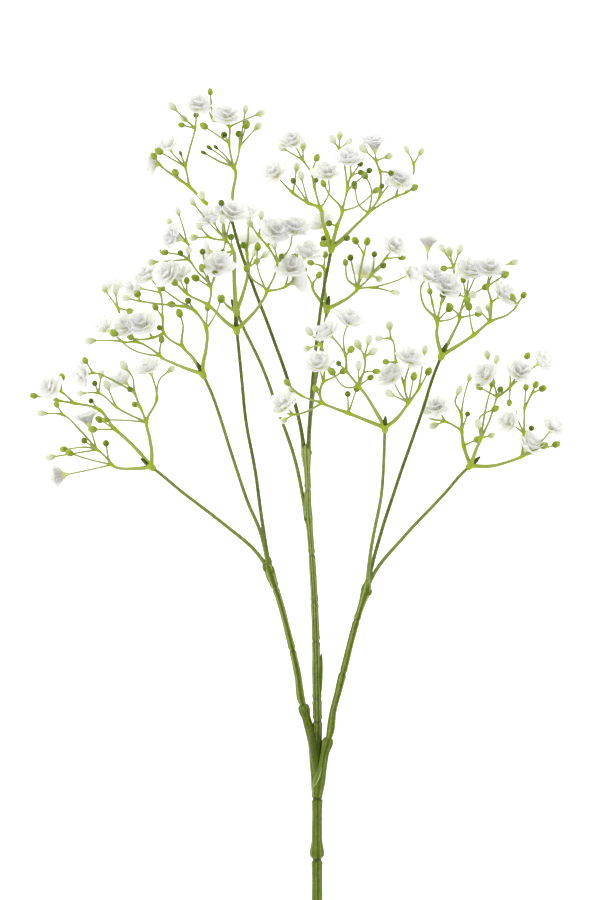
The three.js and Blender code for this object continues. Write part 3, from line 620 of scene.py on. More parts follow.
def swept(
    path: Path,
    radius: np.ndarray | float,
    sides: int,
    relief: np.ndarray | float = 0.0,
    tone: np.ndarray | float = 0.5,
    pale: np.ndarray | float = 0.0,
    dome: float = 0.5,
    finish: int = 0,
) -> Shell:
    """A round limb along a route, closed at both ends.

    Args:
        path: the route.
        radius: its radius, or one for each point of the route.
        sides: corners round it.
        relief: how far each corner stands out further, one row for each point of the route.
        tone: its tone, for each point of the route or each corner.
        pale: its paleness, likewise.
        dome: how far its ends bulge, as a share of their radius.
        finish: which of its piece's finishes it wears.

    Returns:
        The closed limb.
    """
    along, across, side = path.frames()
    count = len(path.points)
    angle = corner_angles(sides)
    reach = (np.broadcast_to(radius, (count,))[:, None] + relief) * np.ones((count, sides))
    rings = (
        path.points[:, None]
        + across[:, None] * (reach * np.cos(angle))[..., None]
        + side[:, None] * (reach * np.sin(angle))[..., None]
    )
    ends = (
        path.points[0] - along[0] * dome * reach[0].mean(),
        path.points[-1] + along[-1] * dome * reach[-1].mean(),
    )
    faces = []
    first, last, top = count * sides, count * sides + 1, (count - 1) * sides
    for low in range(0, top, sides):
        high = low + sides
        for k in range(sides):
            after = (k + 1) % sides
            faces.append((low + k, low + after, high + after, high + k))
    faces += [(first, (k + 1) % sides, k) for k in range(sides)]
    faces += [(last, top + k, top + (k + 1) % sides) for k in range(sides)]
    distance = path.distances() / GRAIN_LENGTH
    grain = np.stack(
        [
            np.broadcast_to(np.cos(angle), (count, sides)),
            np.broadcast_to(np.sin(angle), (count, sides)),
            np.broadcast_to(distance[:, None], (count, sides)),
        ],
        axis=-1,
    ).reshape(-1, 3)
    poles = np.array([[0.0, 0.0, distance[0]], [0.0, 0.0, distance[-1]]])

    def spread(reading: np.ndarray | float) -> np.ndarray:
        """A reading for each corner and the two poles.

        Args:
            reading: one for all, for each point of the route, or for each corner.

        Returns:
            The readings in the order of the corners.
        """
        reading = np.asarray(reading, float)
        rows = reading[:, None] if reading.ndim == 1 else reading
        rows = np.broadcast_to(rows, (count, sides))
        return np.concatenate([rows.ravel(), [rows[0].mean(), rows[-1].mean()]])

    return Shell(
        np.concatenate([rings.reshape(-1, 3), ends]),
        faces,
        spread(tone),
        spread(pale),
        np.concatenate([grain, poles]),
        finish,
    )


def turned(
    foot: np.ndarray,
    axis: np.ndarray,
    outline: Sequence[Spot],
    sides: int,
    lobes: int = 0,
    lobe_depth: float = 0.0,
    tone: np.ndarray | None = None,
    pale: float = 0.0,
    finish: int = 0,
) -> Shell:
    """A turned shape on a straight axis.

    Args:
        foot: where its axis starts.
        axis: the axis's direction.
        outline: (height, radius) along it.
        sides: corners round it.
        lobes: how many lobes it has round it.
        lobe_depth: how deep they are at its tip.
        tone: its tone at each height; by default from 0 at its foot to 1 at its tip.
        pale: its paleness.
        finish: which of its piece's finishes it wears.

    Returns:
        The closed shape.
    """
    heights, radii = np.array(outline).T
    path = Path(foot + axis * heights[:, None], heights)
    rising = (heights - heights[0]) / (heights[-1] - heights[0])
    relief = lobe_depth * rising[:, None] * np.cos(lobes * corner_angles(sides)) if lobes else 0.0
    tone = rising if tone is None else tone
    return swept(path, radii, sides, relief, tone, pale, TURNED_DOME, finish)


def rod(
    foot: np.ndarray, top: np.ndarray, radius: float, sides: int, step: float, dome: float = 0.5
) -> Shell:
    """A straight round rod.

    Args:
        foot: the middle of one end.
        top: the middle of the other.
        radius: its radius.
        sides: corners round it.
        step: length between its rings of corners.
        dome: how far its ends bulge, as a share of its radius.

    Returns:
        The closed rod.
    """
    return swept(Path.through([foot, top], step), radius, sides, dome=dome)


class Piece:
    """One piece of the object, gathered from closed shells and, where it has any, holes."""

    def __init__(
        self, name: str, node: str, slot: str, finishes: Sequence[bpy.types.Material]
    ) -> None:
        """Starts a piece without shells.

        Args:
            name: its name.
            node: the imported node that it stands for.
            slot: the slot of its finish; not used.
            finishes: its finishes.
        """
        self.name = name
        self.node = node
        self.slot = slot
        self.finishes = finishes
        self.shells: list[Shell] = []
        self.holes: list[Shell] = []

    def moulded(self) -> bpy.types.Mesh:
        """All shells melted into one closed body, less the holes.

        Returns:
            Its mesh, in millimetres.
        """
        first, *rest = (
            bpy.data.objects.new(f"{self.name}_shell", shell.mesh(self.name)) for shell in self.shells
        )
        holes = [
            bpy.data.objects.new(f"{self.name}_hole", hole.mesh(self.name)) for hole in self.holes
        ]
        bpy.context.scene.collection.objects.link(first)
        groups = []
        for operation, others in (("UNION", rest), ("DIFFERENCE", holes)):
            if not others:
                continue
            group = bpy.data.collections.new(f"{self.name}_{operation}")
            bpy.context.scene.collection.children.link(group)
            for other in others:
                group.objects.link(other)
            join = first.modifiers.new(operation, "BOOLEAN")
            join.operation = operation
            join.operand_type = "COLLECTION"
            join.solver = "MANIFOLD"
            join.collection = group
            groups.append(group)
        shown = first.evaluated_get(bpy.context.evaluated_depsgraph_get())
        mesh = bpy.data.meshes.new_from_object(shown)
        for used in (first, *rest, *holes):
            data = used.data
            bpy.data.objects.remove(used)
            bpy.data.meshes.remove(data)
        for group in groups:
            bpy.data.collections.remove(group)
        mesh.materials.clear()
        return mesh

    def gathered(self) -> bpy.types.Mesh:
        """All shells side by side in one mesh.

        Returns:
            The mesh, in millimetres.
        """
        start, faces = 0, []
        for shell in self.shells:
            faces += [tuple(start + corner for corner in face) for face in shell.faces]
            start += len(shell.corners)
        corners, tone, pale, grain = (
            np.concatenate([getattr(shell, key) for shell in self.shells])
            for key in ("corners", "tone", "pale", "grain")
        )
        mesh = Shell(corners, faces, tone, pale, grain).mesh(self.name)
        worn = np.repeat([s.finish for s in self.shells], [len(s.faces) for s in self.shells])
        mesh.polygons.foreach_set("material_index", worn.astype(np.int32))
        return mesh

    def place(self, mesh: bpy.types.Mesh, crease: float) -> bpy.types.Object:
        """Puts the piece in the scene.

        Args:
            mesh: its mesh, in millimetres.
            crease: the angle in degrees from which its edges are sharp.

        Returns:
            The piece, which rides on the object and stands for its node.
        """
        mesh.transform(Matrix.Scale(MM, 4))
        for finish in self.finishes:
            mesh.materials.append(finish)
        mesh.shade_smooth()
        mesh.set_sharp_from_angle(angle=math.radians(crease))
        mesh.name = self.name
        made = bpy.data.objects.new(self.name, mesh)
        bpy.context.scene.collection.objects.link(made)
        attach(made, "root")
        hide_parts(self.node)
        LOG.info("%s: %d faces", self.name, len(mesh.polygons))
        return made


# -------------------- Stems --------------------

FOOT_RING_Y = -190.0
FOOT_RING_HEIGHT = 2.9  # of the stem's middle line, above the surface
STEM_RISE = 0.08  # height gained per millimetre of length
TIP_LENGTH = 5.2  # how far a stalk's end pokes out past the middle of its bead
HOLE_DOME = 0.01  # the ends of a hole are all but flat


def stem_height(y: float) -> float:
    """Height of the main stem's middle line above the surface."""
    return FOOT_RING_HEIGHT + (y - FOOT_RING_Y) * STEM_RISE


def raised(flat: Sequence[Spot], low: float, high: float) -> list[np.ndarray]:
    """Points over the surface, raised evenly by length.

    Args:
        flat: the points' x and y.
        low: the height of the first.
        high: the height of the last.

    Returns:
        The points with their heights.
    """
    flat = np.asarray(flat, float)
    lengths = np.concatenate([[0], np.cumsum(np.linalg.norm(np.diff(flat, axis=0), axis=1))])
    heights = low + (high - low) * lengths / lengths[-1]
    return list(np.column_stack([flat, heights]))


@dataclass(frozen=True)
class Lump:
    """A rounded swelling on a stem.

    Args:
        spot: its middle, seen from above.
        lift: how far its middle lies above the stem's middle line.
        radius: its radius across.
        length: its length.
        heading: the direction of its length, in degrees from +X.
        tone: its tone.
        rows: corners along it.
        sides: corners round it.
        blunt: the angle, in radians, that its round outline leaves out at each end.
    """

    spot: Spot
    lift: float
    radius: float
    length: float
    heading: float = 90.0
    tone: float = 0.5
    rows: int = 11
    sides: int = 18
    blunt: float = 0.22

    def shell(self, height: float) -> Shell:
        """The closed swelling.

        Args:
            height: of its stem's middle line.

        Returns:
            The swelling.
        """
        heading = math.radians(self.heading)
        axis = np.array([math.cos(heading), math.sin(heading), 0.0])
        middle = np.array([*self.spot, height + self.lift])
        outline = [
            (-self.length / 2 * math.cos(turn), self.radius * math.sin(turn))
            for turn in np.linspace(self.blunt, math.pi - self.blunt, self.rows)
        ]
        return turned(middle, axis, outline, self.sides, tone=np.full(self.rows, self.tone))


FLUTE_WANDER = ((0.6, 23.0), (0.8, 17.0))  # radians and millimetres, for wide and narrow flutes
NARROW_SHARE = 0.5  # how deep the narrow flutes are beside the wide ones
SWELLS = ((0.05, 5.3), (0.04, 2.1))  # height and length of the slow swells along a stem
RING_WANDER = (0.32, 0.14)  # how far a ring groove strays from flat, slowly and quickly
PHASES = 8  # starts of waves that are drawn for a stem


@dataclass(frozen=True)
class Shaft:
    """A moulded stem with flutes along it and ring grooves round it.

    Args:
        stations: (x, y, radius) along it.
        heights: of its two ends; None for a stem that follows the main stem's slope.
        grooves: (y, strength) of the ring grooves that cross it; the strength sets their depth and their
            painted shade.
        painted_shade: (y, reach) of the stretch where painted shade darkens it most; None for no such
            stretch.
        paleness: how much pale skin it shows between its ridges, at its two ends.
        seed: varies its flutes.
        flutes: how many it has.
        flute_depth: how deep they are.
        groove_depth: how deep a ring groove is.
        groove_width: half of its width.
        lip: how far the rims of a groove stand out.
        sides: corners round it.
        step: length between its rings of corners.
        width_step: length between the points of its smooth width.
    """

    stations: Sequence[Place]
    heights: tuple[float, float] | None = None
    grooves: tuple[Spot, ...] = ()
    painted_shade: Spot | None = None
    paleness: tuple[float, float] = (0.0, 0.0)
    seed: int = 1
    flutes: int = 9
    flute_depth: float = 0.08
    groove_depth: float = 0.44
    groove_width: float = 0.7
    lip: float = 0.14
    sides: int = 42
    step: float = 0.4
    width_step: float = 0.2

    def points(self) -> list[np.ndarray]:
        """The middles of its stations.

        Returns:
            Their places.
        """
        flat = [(x, y) for x, y, _ in self.stations]
        if self.heights is None:
            return [np.array([x, y, stem_height(y)]) for x, y in flat]
        return raised(flat, *self.heights)

    def ridges(self, run: np.ndarray, phase: Sequence[float]) -> np.ndarray:
        """The flutes' pattern: wide ones, and narrow ones between them.

        Args:
            run: the distances along the stem, one in a row.
            phase: where each wave of the pattern starts, in radians.

        Returns:
            The pattern, one row for each distance, from about -1.5 to 1.5.
        """
        (wide, wide_length), (narrow, narrow_length) = FLUTE_WANDER
        angle = self.flutes * corner_angles(self.sides) + phase[0]
        between = (2 * self.flutes + 1) * corner_angles(self.sides) + phase[2]
        return (
            np.cos(angle + wide * np.sin(run / wide_length + phase[1]))
            + NARROW_SHARE * np.cos(between + narrow * np.sin(run / narrow_length + phase[3]))
        )

    def shell(self) -> Shell:
        """The stem as one closed limb.

        Returns:
            The limb.
        """
        path = Path.through(self.points(), self.step)
        distance = path.distances()
        widths = [(at, radius, 0.0) for at, (_, _, radius) in zip(path.marks, self.stations)]
        width = Path.through(widths, self.width_step)
        radius = np.interp(distance, width.points[:, 0], width.points[:, 1])
        angle = corner_angles(self.sides)
        run = distance[:, None]
        chance = random.Random(self.seed)
        phase = [chance.uniform(0, 2 * math.pi) for _ in range(PHASES)]
        ridge = self.ridges(run, phase)
        (slow, slow_length), (quick, quick_length) = SWELLS
        relief = self.flute_depth * ridge + (
            slow * np.sin(run / slow_length + phase[4] + angle)
            + quick * np.sin(run / quick_length + phase[5] + 2 * angle)
        )
        # cut: where tone and paleness are lowered as painted shade, in each ring groove and in the fork's
        # stretch
        cut = np.zeros_like(relief)
        for y, strength in self.grooves:
            at = np.interp(y, path.points[:, 1], distance)
            turn = chance.uniform(0, 2 * math.pi)
            off = (
                run - at
                - RING_WANDER[0] * np.sin(2 * angle + turn)
                - RING_WANDER[1] * np.sin(5 * angle + 2 * turn)
            )
            notch = strength * bell(off, self.groove_width)
            rim = bell(np.abs(off) - 2 * self.groove_width, self.groove_width)
            relief = relief - self.groove_depth * notch + self.lip * rim
            cut = np.maximum(cut, notch**2)
        # painted shade: the stretch behind the sockets' fork is darkened in tone and paleness
        if self.painted_shade:
            middle, reach = self.painted_shade
            cut = np.maximum(cut, bell(path.points[:, 1:2] - middle, reach))
        tone = np.clip(0.5 + 0.35 * ridge / (1 + NARROW_SHARE) - 0.9 * cut, 0, 1)
        skin = self.paleness[0] + (self.paleness[1] - self.paleness[0]) * run / run[-1]
        pale = np.clip(0.3 * ridge + skin - 0.6 * cut, 0, 1)
        return swept(path, radius, self.sides, relief, tone, pale)


SKIN_SHOWN, SKIN_DEEP = 0.42, 0.27  # how much pale skin a stalk shows, and a darker stalk
FLARE, FLARE_LENGTH = 0.35, 3.5  # how much thicker a stalk is at its foot, and over what length
KNOB, KNOB_PLACE, KNOB_LENGTH = 0.3, 2.6, 1.5  # how much thicker its end is, where, and how far
TAPER, TAPER_LENGTH = 0.25, 1.2  # how much thinner it is at its very tip
BARE_LENGTH, BARE_FADE = 7.0, 3.0  # the dark length at its tip, and how softly that starts
STALK_WAVES = ((0.035, 30.0), (0.03, 3.1))  # height and length of its slow and quick unevenness


@dataclass(frozen=True)
class Stalk:
    """A stalk from a collar through its spray's bead to its bare tip.

    Args:
        flat: its points seen from above, from the collar on.
        foot: its height in the collar.
        hub: the middle of its bead.
        skin: how much pale skin it shows.
        foot_radius: its radius at the collar.
        top_radius: its radius at the bead.
        sides: corners round it.
        step: length between its rings of corners.
    """

    flat: Sequence[Spot]
    foot: float
    hub: Place
    skin: float
    foot_radius: float = 0.8
    top_radius: float = 0.66
    sides: int = 14
    step: float = 0.8

    def line(self) -> tuple[list[np.ndarray], np.ndarray]:
        """Its points up to the middle of the bead, and its direction there."""
        points = raised([*self.flat, self.hub[:2]], self.foot, self.hub[2])
        return points, unit(points[-1] - points[-2])

    def shell(self) -> Shell:
        """The stalk as one closed limb.

        Returns:
            The limb.
        """
        points, along = self.line()
        path = Path.through([*points, points[-1] + along * TIP_LENGTH], self.step)
        distance = path.distances()
        left = distance[-1] - distance
        radius = self.foot_radius + (self.top_radius - self.foot_radius) * (distance / distance[-1])
        radius = radius + FLARE * np.exp(-distance / FLARE_LENGTH)
        radius = radius + KNOB * bell(left - KNOB_PLACE, KNOB_LENGTH) - TAPER * bell(left, TAPER_LENGTH)
        angle = corner_angles(self.sides)
        run = distance[:, None]
        (slow, slow_length), (quick, quick_length) = STALK_WAVES
        relief = (
            slow * np.cos(3 * angle + run / slow_length)
            + quick * np.sin(run / quick_length + angle)
        )
        bare = np.clip((BARE_LENGTH - left[:, None]) / BARE_FADE, 0, 1)
        tone = (self.skin + relief * 4) * (1 - 0.8 * bare)
        return swept(path, radius, self.sides, relief, tone, self.skin * (1 - bare))


CREST_RADIUS = 0.3
CREST_STEP = 0.4
CREST_BLUNT = 0.3  # the angle, in radians, that a crest's round outline leaves out at each end
REST_DEPTH = 1.0  # what would pass below the surface is bent up from this height down


def rest_on_surface(mesh: bpy.types.Mesh) -> None:
    """Bends up what would pass below the surface.

    Args:
        mesh: a mesh in millimetres.
    """
    corners = np.empty(len(mesh.vertices) * 3, np.float32)
    mesh.vertices.foreach_get("co", corners)
    heights = corners[2::3]
    low = heights < REST_DEPTH
    heights[low] = REST_DEPTH * np.exp((heights[low] - REST_DEPTH) / REST_DEPTH)
    mesh.vertices.foreach_set("co", corners)


@dataclass(frozen=True)
class StemPart:
    """One moulded part of the stem, with its stalks.

    Args:
        node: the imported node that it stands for.
        slot: the slot of its finish.
        shafts: its fluted stems.
        lumps: the swellings at its collars.
        stalks: the route of each of its stalks, by spray.
        deep: the sprays whose stalks show little pale skin.
        collar: the stalks' height in the collar; None where they follow the main stem's slope.
        crests: thin pale rims on its surface, as points.
        sockets: the stems in whose ends it has a blind hole.
        plug_in: the stem whose blind hole the peg at its foot stands in; None for no peg.
        socket_radius: the radius of a blind hole.
        socket_depth: its depth.
        socket_lead: how far it is cut past the stem's end, to open it.
        plug_radius: the radius of a peg.
        plug_gap: how far the peg's end stays from the bottom of its hole.
        plug_root: how far the peg reaches into its own part.
    """

    node: str
    slot: str
    shafts: Sequence[Shaft]
    lumps: Sequence[Lump]
    stalks: dict[str, Sequence[Spot]]
    deep: Sequence[str] = ()
    collar: float | None = None
    crests: Sequence[Sequence[Place]] = ()
    sockets: Sequence[Shaft] = ()
    plug_in: Shaft | None = None
    socket_radius: float = 1.42
    socket_depth: float = 3.0
    socket_lead: float = 2.0
    plug_radius: float = 1.0
    plug_gap: float = 0.4
    plug_root: float = 0.6

    def height(self, y: float) -> float:
        """The height of its middle line or, where it has one, of its collar."""
        return stem_height(y) if self.collar is None else self.collar

    def stalk(self, spray: str) -> Stalk:
        """One of its stalks.

        Args:
            spray: the spray that the stalk carries.

        Returns:
            The stalk.
        """
        flat = self.stalks[spray]
        skin = SKIN_DEEP if spray in self.deep else SKIN_SHOWN
        return Stalk(flat, self.height(flat[0][1]), SPRAYS[spray].hub, skin)

    def crest(self, points: Sequence[Place]) -> Shell:
        """A thin rim through points, which tapers to both ends.

        Args:
            points: the points.

        Returns:
            The closed rim.
        """
        path = Path.through(points, CREST_STEP)
        turn = np.linspace(CREST_BLUNT, math.pi - CREST_BLUNT, len(path.points))
        return swept(path, CREST_RADIUS * np.sin(turn), sides=8, tone=0.9, pale=0.8)

    @staticmethod
    def socket_end(socket: Shaft) -> tuple[np.ndarray, np.ndarray]:
        """The middle of a socket's top, and the direction it opens in."""
        points = socket.points()
        return points[-1], unit(points[-1] - points[-2])

    def build(self, finish: bpy.types.Material) -> bpy.types.Object:
        """Builds the part in one body and dresses it.

        Args:
            finish: its plastic.

        Returns:
            The piece.
        """
        piece = Piece(f"{self.node}_moulding", self.node, self.slot, [finish])
        for shaft in self.shafts:
            piece.shells.append(shaft.shell())
        for lump in self.lumps:
            piece.shells.append(lump.shell(self.height(lump.spot[1])))
        for spray in self.stalks:
            piece.shells.append(self.stalk(spray).shell())
        for points in self.crests:
            piece.shells.append(self.crest(points))
        if self.plug_in:
            top, along = self.socket_end(self.plug_in)
            foot = top - along * (self.socket_depth - self.plug_gap)
            root = top + along * self.plug_root
            piece.shells.append(rod(foot, root, self.plug_radius, sides=20, step=0.5))
        for socket in self.sockets:
            top, along = self.socket_end(socket)
            foot, lead = top - along * self.socket_depth, top + along * self.socket_lead
            hole = rod(foot, lead, self.socket_radius, sides=28, step=1.0, dome=HOLE_DOME)
            piece.holes.append(hole)
        mesh = piece.moulded()
        rest_on_surface(mesh)
        return piece.place(mesh, crease=45.0)


# -------------------- Buds and blooms --------------------


class Tip(Enum):
    """What a twig ends in."""

    TWIG = "twig"
    PALE = "pale"
    GREEN = "green"
    DARK = "dark"
    SMALL = "small"
    BLOOM = "bloom"
    TRUMPET = "trumpet"


class Skin(Enum):
    """A bud's finish, numbered as a piece of buds carries them."""

    PALE = 0
    GREEN = 1
    DARK = 2


BUD_SKINS = {
    Skin.PALE: BudSkin(paint(178, 194, 100), paint(240, 242, 222), paint(222, 228, 186), 0.45),
    Skin.GREEN: BudSkin(paint(126, 148, 12), paint(166, 184, 68), paint(142, 162, 30), 0.35),
    Skin.DARK: BudSkin(paint(72, 91, 0), paint(110, 134, 0), paint(130, 154, 12), 0.25),
}


@dataclass(frozen=True)
class BudShape:
    """A bud's size and outline.

    Args:
        radius: its largest radius.
        length: its length.
        outline: (share of the length, share of the radius) from its foot to its tip.
        lobes: how many folds meet at its tip.
        lobe_depth: how deep they are there.
        skin: its finish.
        sides: corners round it.
        sizes: the smallest and largest scale of one bud.
        sunk: how much of its length its twig reaches below its middle.
    """

    radius: float
    length: float
    outline: Sequence[Spot]
    lobes: int
    lobe_depth: float
    skin: Skin
    sides: int = 20
    sizes: tuple[float, float] = (0.85, 1.1)
    sunk: float = 0.4

    def shell(self, middle: np.ndarray, along: np.ndarray, chance: random.Random) -> Shell:
        """One bud.

        Args:
            middle: its middle.
            along: the direction of its tip.
            chance: varies its size a little.

        Returns:
            The closed bud.
        """
        size = chance.uniform(*self.sizes)
        outline = [
            ((share - 0.5) * self.length * size, width * self.radius * size)
            for share, width in self.outline
        ]
        depth = self.lobe_depth * size
        return turned(
            middle, along, outline, self.sides, self.lobes, depth, finish=self.skin.value
        )


BUDS = {
    Tip.PALE: BudShape(
        radius=1.55,
        length=4.7,
        outline=(
            (0, 0.26), (0.1, 0.38), (0.22, 0.58), (0.36, 0.82), (0.5, 0.97), (0.63, 1.0),
            (0.76, 0.88), (0.87, 0.66), (0.95, 0.42), (1.0, 0.16),
        ),
        lobes=5,
        lobe_depth=-0.16,
        skin=Skin.PALE,
    ),
    Tip.GREEN: BudShape(
        radius=1.4,
        length=3.5,
        outline=(
            (0, 0.3), (0.07, 0.6), (0.2, 0.85), (0.36, 0.98), (0.52, 1.0), (0.68, 0.92),
            (0.82, 0.72), (0.93, 0.45), (1.0, 0.18),
        ),
        lobes=4,
        lobe_depth=-0.07,
        skin=Skin.GREEN,
    ),
    Tip.DARK: BudShape(
        radius=1.25,
        length=2.6,
        outline=(
            (0, 0.35), (0.08, 0.66), (0.2, 0.88), (0.36, 0.99), (0.52, 1.0), (0.68, 0.93),
            (0.8, 0.76), (0.9, 0.5), (0.95, 0.26), (1.0, 0.14),
        ),
        lobes=3,
        lobe_depth=-0.03,
        skin=Skin.DARK,
    ),
    Tip.SMALL: BudShape(
        radius=0.82,
        length=2.8,
        outline=(
            (0, 0.45), (0.15, 0.66), (0.35, 0.86), (0.55, 1.0), (0.72, 0.94), (0.86, 0.7), (0.95, 0.4),
            (1.0, 0.2),
        ),
        lobes=3,
        lobe_depth=-0.05,
        skin=Skin.DARK,
    ),
}


@dataclass(frozen=True)
class PetalRing:
    """A ring of like petals of a bloom.

    Args:
        count: how many there are.
        curve: (distance from the axis, height) of the four control points of a petal's middle line.
        half_width: half of a petal's width.
        flare: how much flatter than a cup the petal is across, in millimetres of radius.
        cup: how far its sides curl in.
        ruffle: how far its edge waves.
    """

    count: int
    curve: tuple[Spot, Spot, Spot, Spot]
    half_width: float
    flare: float
    cup: float
    ruffle: float


OPEN_RINGS = (
    PetalRing(5, ((0.9, 1.8), (3.3, 2.4), (5.4, 3.7), (6.8, 4.7)), 3.9, 1.4, 0.1, 0.5),
    PetalRing(5, ((1.0, 2.6), (2.7, 3.8), (4.2, 5.4), (5.1, 6.9)), 3.0, 1.0, 0.1, 0.5),
    PetalRing(3, ((0.5, 3.8), (1.3, 5.4), (2.1, 6.7), (2.9, 7.9)), 2.7, 0.8, 0.2, 0.45),
)
OPEN_CORE = ((1.7, 0.5), (2.3, 1.0), (3.0, 1.4), (3.8, 1.5), (4.6, 1.4), (5.4, 1.2), (6.0, 0.7))
TRUMPET_RINGS = (
    PetalRing(5, ((0.9, 1.9), (1.5, 4.4), (3.8, 5.6), (7.1, 5.6)), 4.4, 0.9, 0.4, 0.5),
    PetalRing(5, ((0.6, 2.2), (1.1, 4.6), (3.0, 6.5), (5.6, 7.0)), 3.4, 0.6, 0.3, 0.5),
    PetalRing(3, ((0.3, 2.4), (0.5, 4.8), (1.0, 6.3), (2.6, 7.6)), 2.1, 0.4, 0.2, 0.4),
)
TRUMPET_CORE = ((1.7, 0.5), (2.5, 0.9), (3.6, 1.1), (4.8, 1.4), (5.8, 1.9), (6.3, 1.6), (6.5, 0.6))
BLOOMS = {Tip.BLOOM: (OPEN_RINGS, OPEN_CORE), Tip.TRUMPET: (TRUMPET_RINGS, TRUMPET_CORE)}
PETAL_SIZES = (0.9, 1.06)  # the smallest and largest scale of a petal
PETAL_LEANS = (-0.1, 0.12)  # how far it leans in or out, as a slope
PETAL_STRAY = 0.14  # how far it may stand off its even place round the bloom, in radians
SCALLOPS = ((0.07, 4.2), (0.04, 9.0))  # depth and closeness of the scallops of its edge
WAVES = ((1.0, 2.8, 1.5), (0.45, 6.5, -2.0))  # share, closeness and drift of its ruffle's waves
RUFFLE_START = 1.6  # how late along it the ruffle sets in
CURL, CURL_CLOSENESS = 0.35, 3.1  # the share of the ruffle that curls its edge in and out
ROUNDING, SQUARENESS = 0.36, 2.2  # how much shorter it is at its sides, and how square its end
FOOT_WIDTH, WIDENING = 0.26, 0.8  # its foot's share of its full width, and how late it widens
LEAN_HEIGHT = 2.0  # the height that it leans about
AXIS_GAP = 0.4  # the least radius that it bends round
TURNS_FROM = (0.31, 0.52, 0.8)  # a direction that no bloom faces, which turns are measured from


@dataclass(frozen=True)
class Bloom:
    """A double bloom of ruffled cloth petals on a calyx.

    Args:
        foot: the foot of its calyx.
        facing: the direction that it opens in.
        rings: its rings of petals, from outside in.
        core: the outline of the crumpled core that they sit on.
        seed: varies its petals.
        thickness: of a petal's cloth at its foot; its edge is half as thick.
        rows: corners along a petal.
        columns: corners across it.
    """

    foot: np.ndarray
    facing: np.ndarray
    rings: Sequence[PetalRing]
    core: Sequence[Spot]
    seed: str
    thickness: float = 0.34
    rows: int = 9
    columns: int = 11

    def sheet(self, ring: PetalRing, chance: random.Random) -> np.ndarray:
        """The middle of a petal's cloth, on a bloom that faces +Z, where the petal grows out along +X.

        Args:
            ring: the ring it belongs to.
            chance: varies it.

        Returns:
            Its points, by rows along the petal.
        """
        across = np.linspace(-1, 1, self.columns)[None, :]
        up = np.linspace(0, 1, self.rows)[:, None]
        size = chance.uniform(*PETAL_SIZES)
        lean = chance.uniform(*PETAL_LEANS)
        phase = [chance.uniform(0, 2 * math.pi) for _ in range(4)]
        scallop = sum(
            depth * np.cos(closeness * across + start)
            for (depth, closeness), start in zip(SCALLOPS, phase)
        )
        reach = up * (1 - ROUNDING * np.abs(across) ** SQUARENESS + scallop * up)
        weights = (
            (1 - reach) ** 3,
            3 * reach * (1 - reach) ** 2,
            3 * reach**2 * (1 - reach),
            reach**3,
        )
        radial = sum(weight * size * out for weight, (out, _) in zip(weights, ring.curve))
        height = sum(weight * rise for weight, (_, rise) in zip(weights, ring.curve))
        radial, height = radial - lean * (height - LEAN_HEIGHT), height + lean * radial
        width = FOOT_WIDTH + (1 - FOOT_WIDTH) * np.sin(up**WIDENING * math.pi / 2)
        half = ring.half_width * size * width
        hoop = np.maximum(radial, AXIS_GAP) + ring.flare
        swing = across * half / hoop
        wave = sum(
            share * np.sin(closeness * across + start + drift * up)
            for (share, closeness, drift), start in zip(WAVES, phase[2:])
        )
        curl = CURL * ring.ruffle * np.cos(CURL_CLOSENESS * across + phase[1]) * up
        x = radial - hoop * (1 - np.cos(swing)) + curl
        y = hoop * np.sin(swing)
        z = height + ring.cup * across**2 * up + ring.ruffle * wave * up**RUFFLE_START
        return np.stack(np.broadcast_arrays(x, y, z), axis=-1)

    def petal(self, ring: PetalRing, turn: float, chance: random.Random) -> Shell:
        """One petal, as a closed thin shell.

        Args:
            ring: the ring it belongs to.
            turn: its angle round the axis.
            chance: varies it.

        Returns:
            The petal, in the bloom's place.
        """
        middle = self.sheet(ring, chance)
        normal = np.cross(np.gradient(middle, axis=0), np.gradient(middle, axis=1))
        normal /= np.linalg.norm(normal, axis=-1, keepdims=True)
        up = np.repeat(np.linspace(0, 1, self.rows)[:, None], self.columns, axis=1)
        offset = normal * (self.thickness * (1 - 0.5 * up) / 2)[..., None]
        sheets = np.stack([middle - offset, middle + offset]).reshape(-1, 3)
        cos, sin = math.cos(turn), math.sin(turn)
        spun = sheets @ np.array([[cos, sin, 0], [-sin, cos, 0], [0, 0, 1]])
        side = unit(np.cross(self.facing, TURNS_FROM))
        corners = self.foot + spun @ np.stack([side, np.cross(self.facing, side), self.facing])
        tone = np.tile(up.ravel(), 2)
        return Shell(
            corners, self.petal_faces(), tone, np.zeros(len(tone)), corners / GRAIN_LENGTH
        )

    def petal_faces(self) -> list[tuple[int, ...]]:
        """The faces of a petal: two sheets and the rim that closes them.

        Returns:
            The corners of each face.
        """
        sheet = self.rows * self.columns
        faces = []
        for i in range(self.rows - 1):
            for k in range(self.columns - 1):
                a = i * self.columns + k
                b, c, d = a + 1, a + 1 + self.columns, a + self.columns
                faces += [(a, d, c, b), (sheet + a, sheet + b, sheet + c, sheet + d)]
        last = sheet - self.columns
        rim = [
            *range(self.columns - 1),
            *range(self.columns - 1, sheet - 1, self.columns),
            *range(sheet - 1, last, -1),
            *range(last, 0, -self.columns),
        ]
        return faces + [(a, b, sheet + b, sheet + a) for a, b in zip(rim, [*rim[1:], rim[0]])]

    def shells(self) -> list[Shell]:
        """All the petals and the core that they sit on.

        Returns:
            The closed shapes.
        """
        chance = random.Random(self.seed)
        start = chance.uniform(0, 2 * math.pi)
        made = []
        for index, ring in enumerate(self.rings):
            step = 2 * math.pi / ring.count
            for k in range(ring.count):
                stray = chance.uniform(-PETAL_STRAY, PETAL_STRAY)
                turn = start + step * (k + 0.5 * (index % 2)) + stray
                made.append(self.petal(ring, turn, chance))
        tone = np.linspace(0, 1, len(self.core))
        made.append(
            turned(self.foot, self.facing, self.core, sides=24, lobes=5, lobe_depth=0.2, tone=tone)
        )
        return made


# -------------------- Sprays --------------------


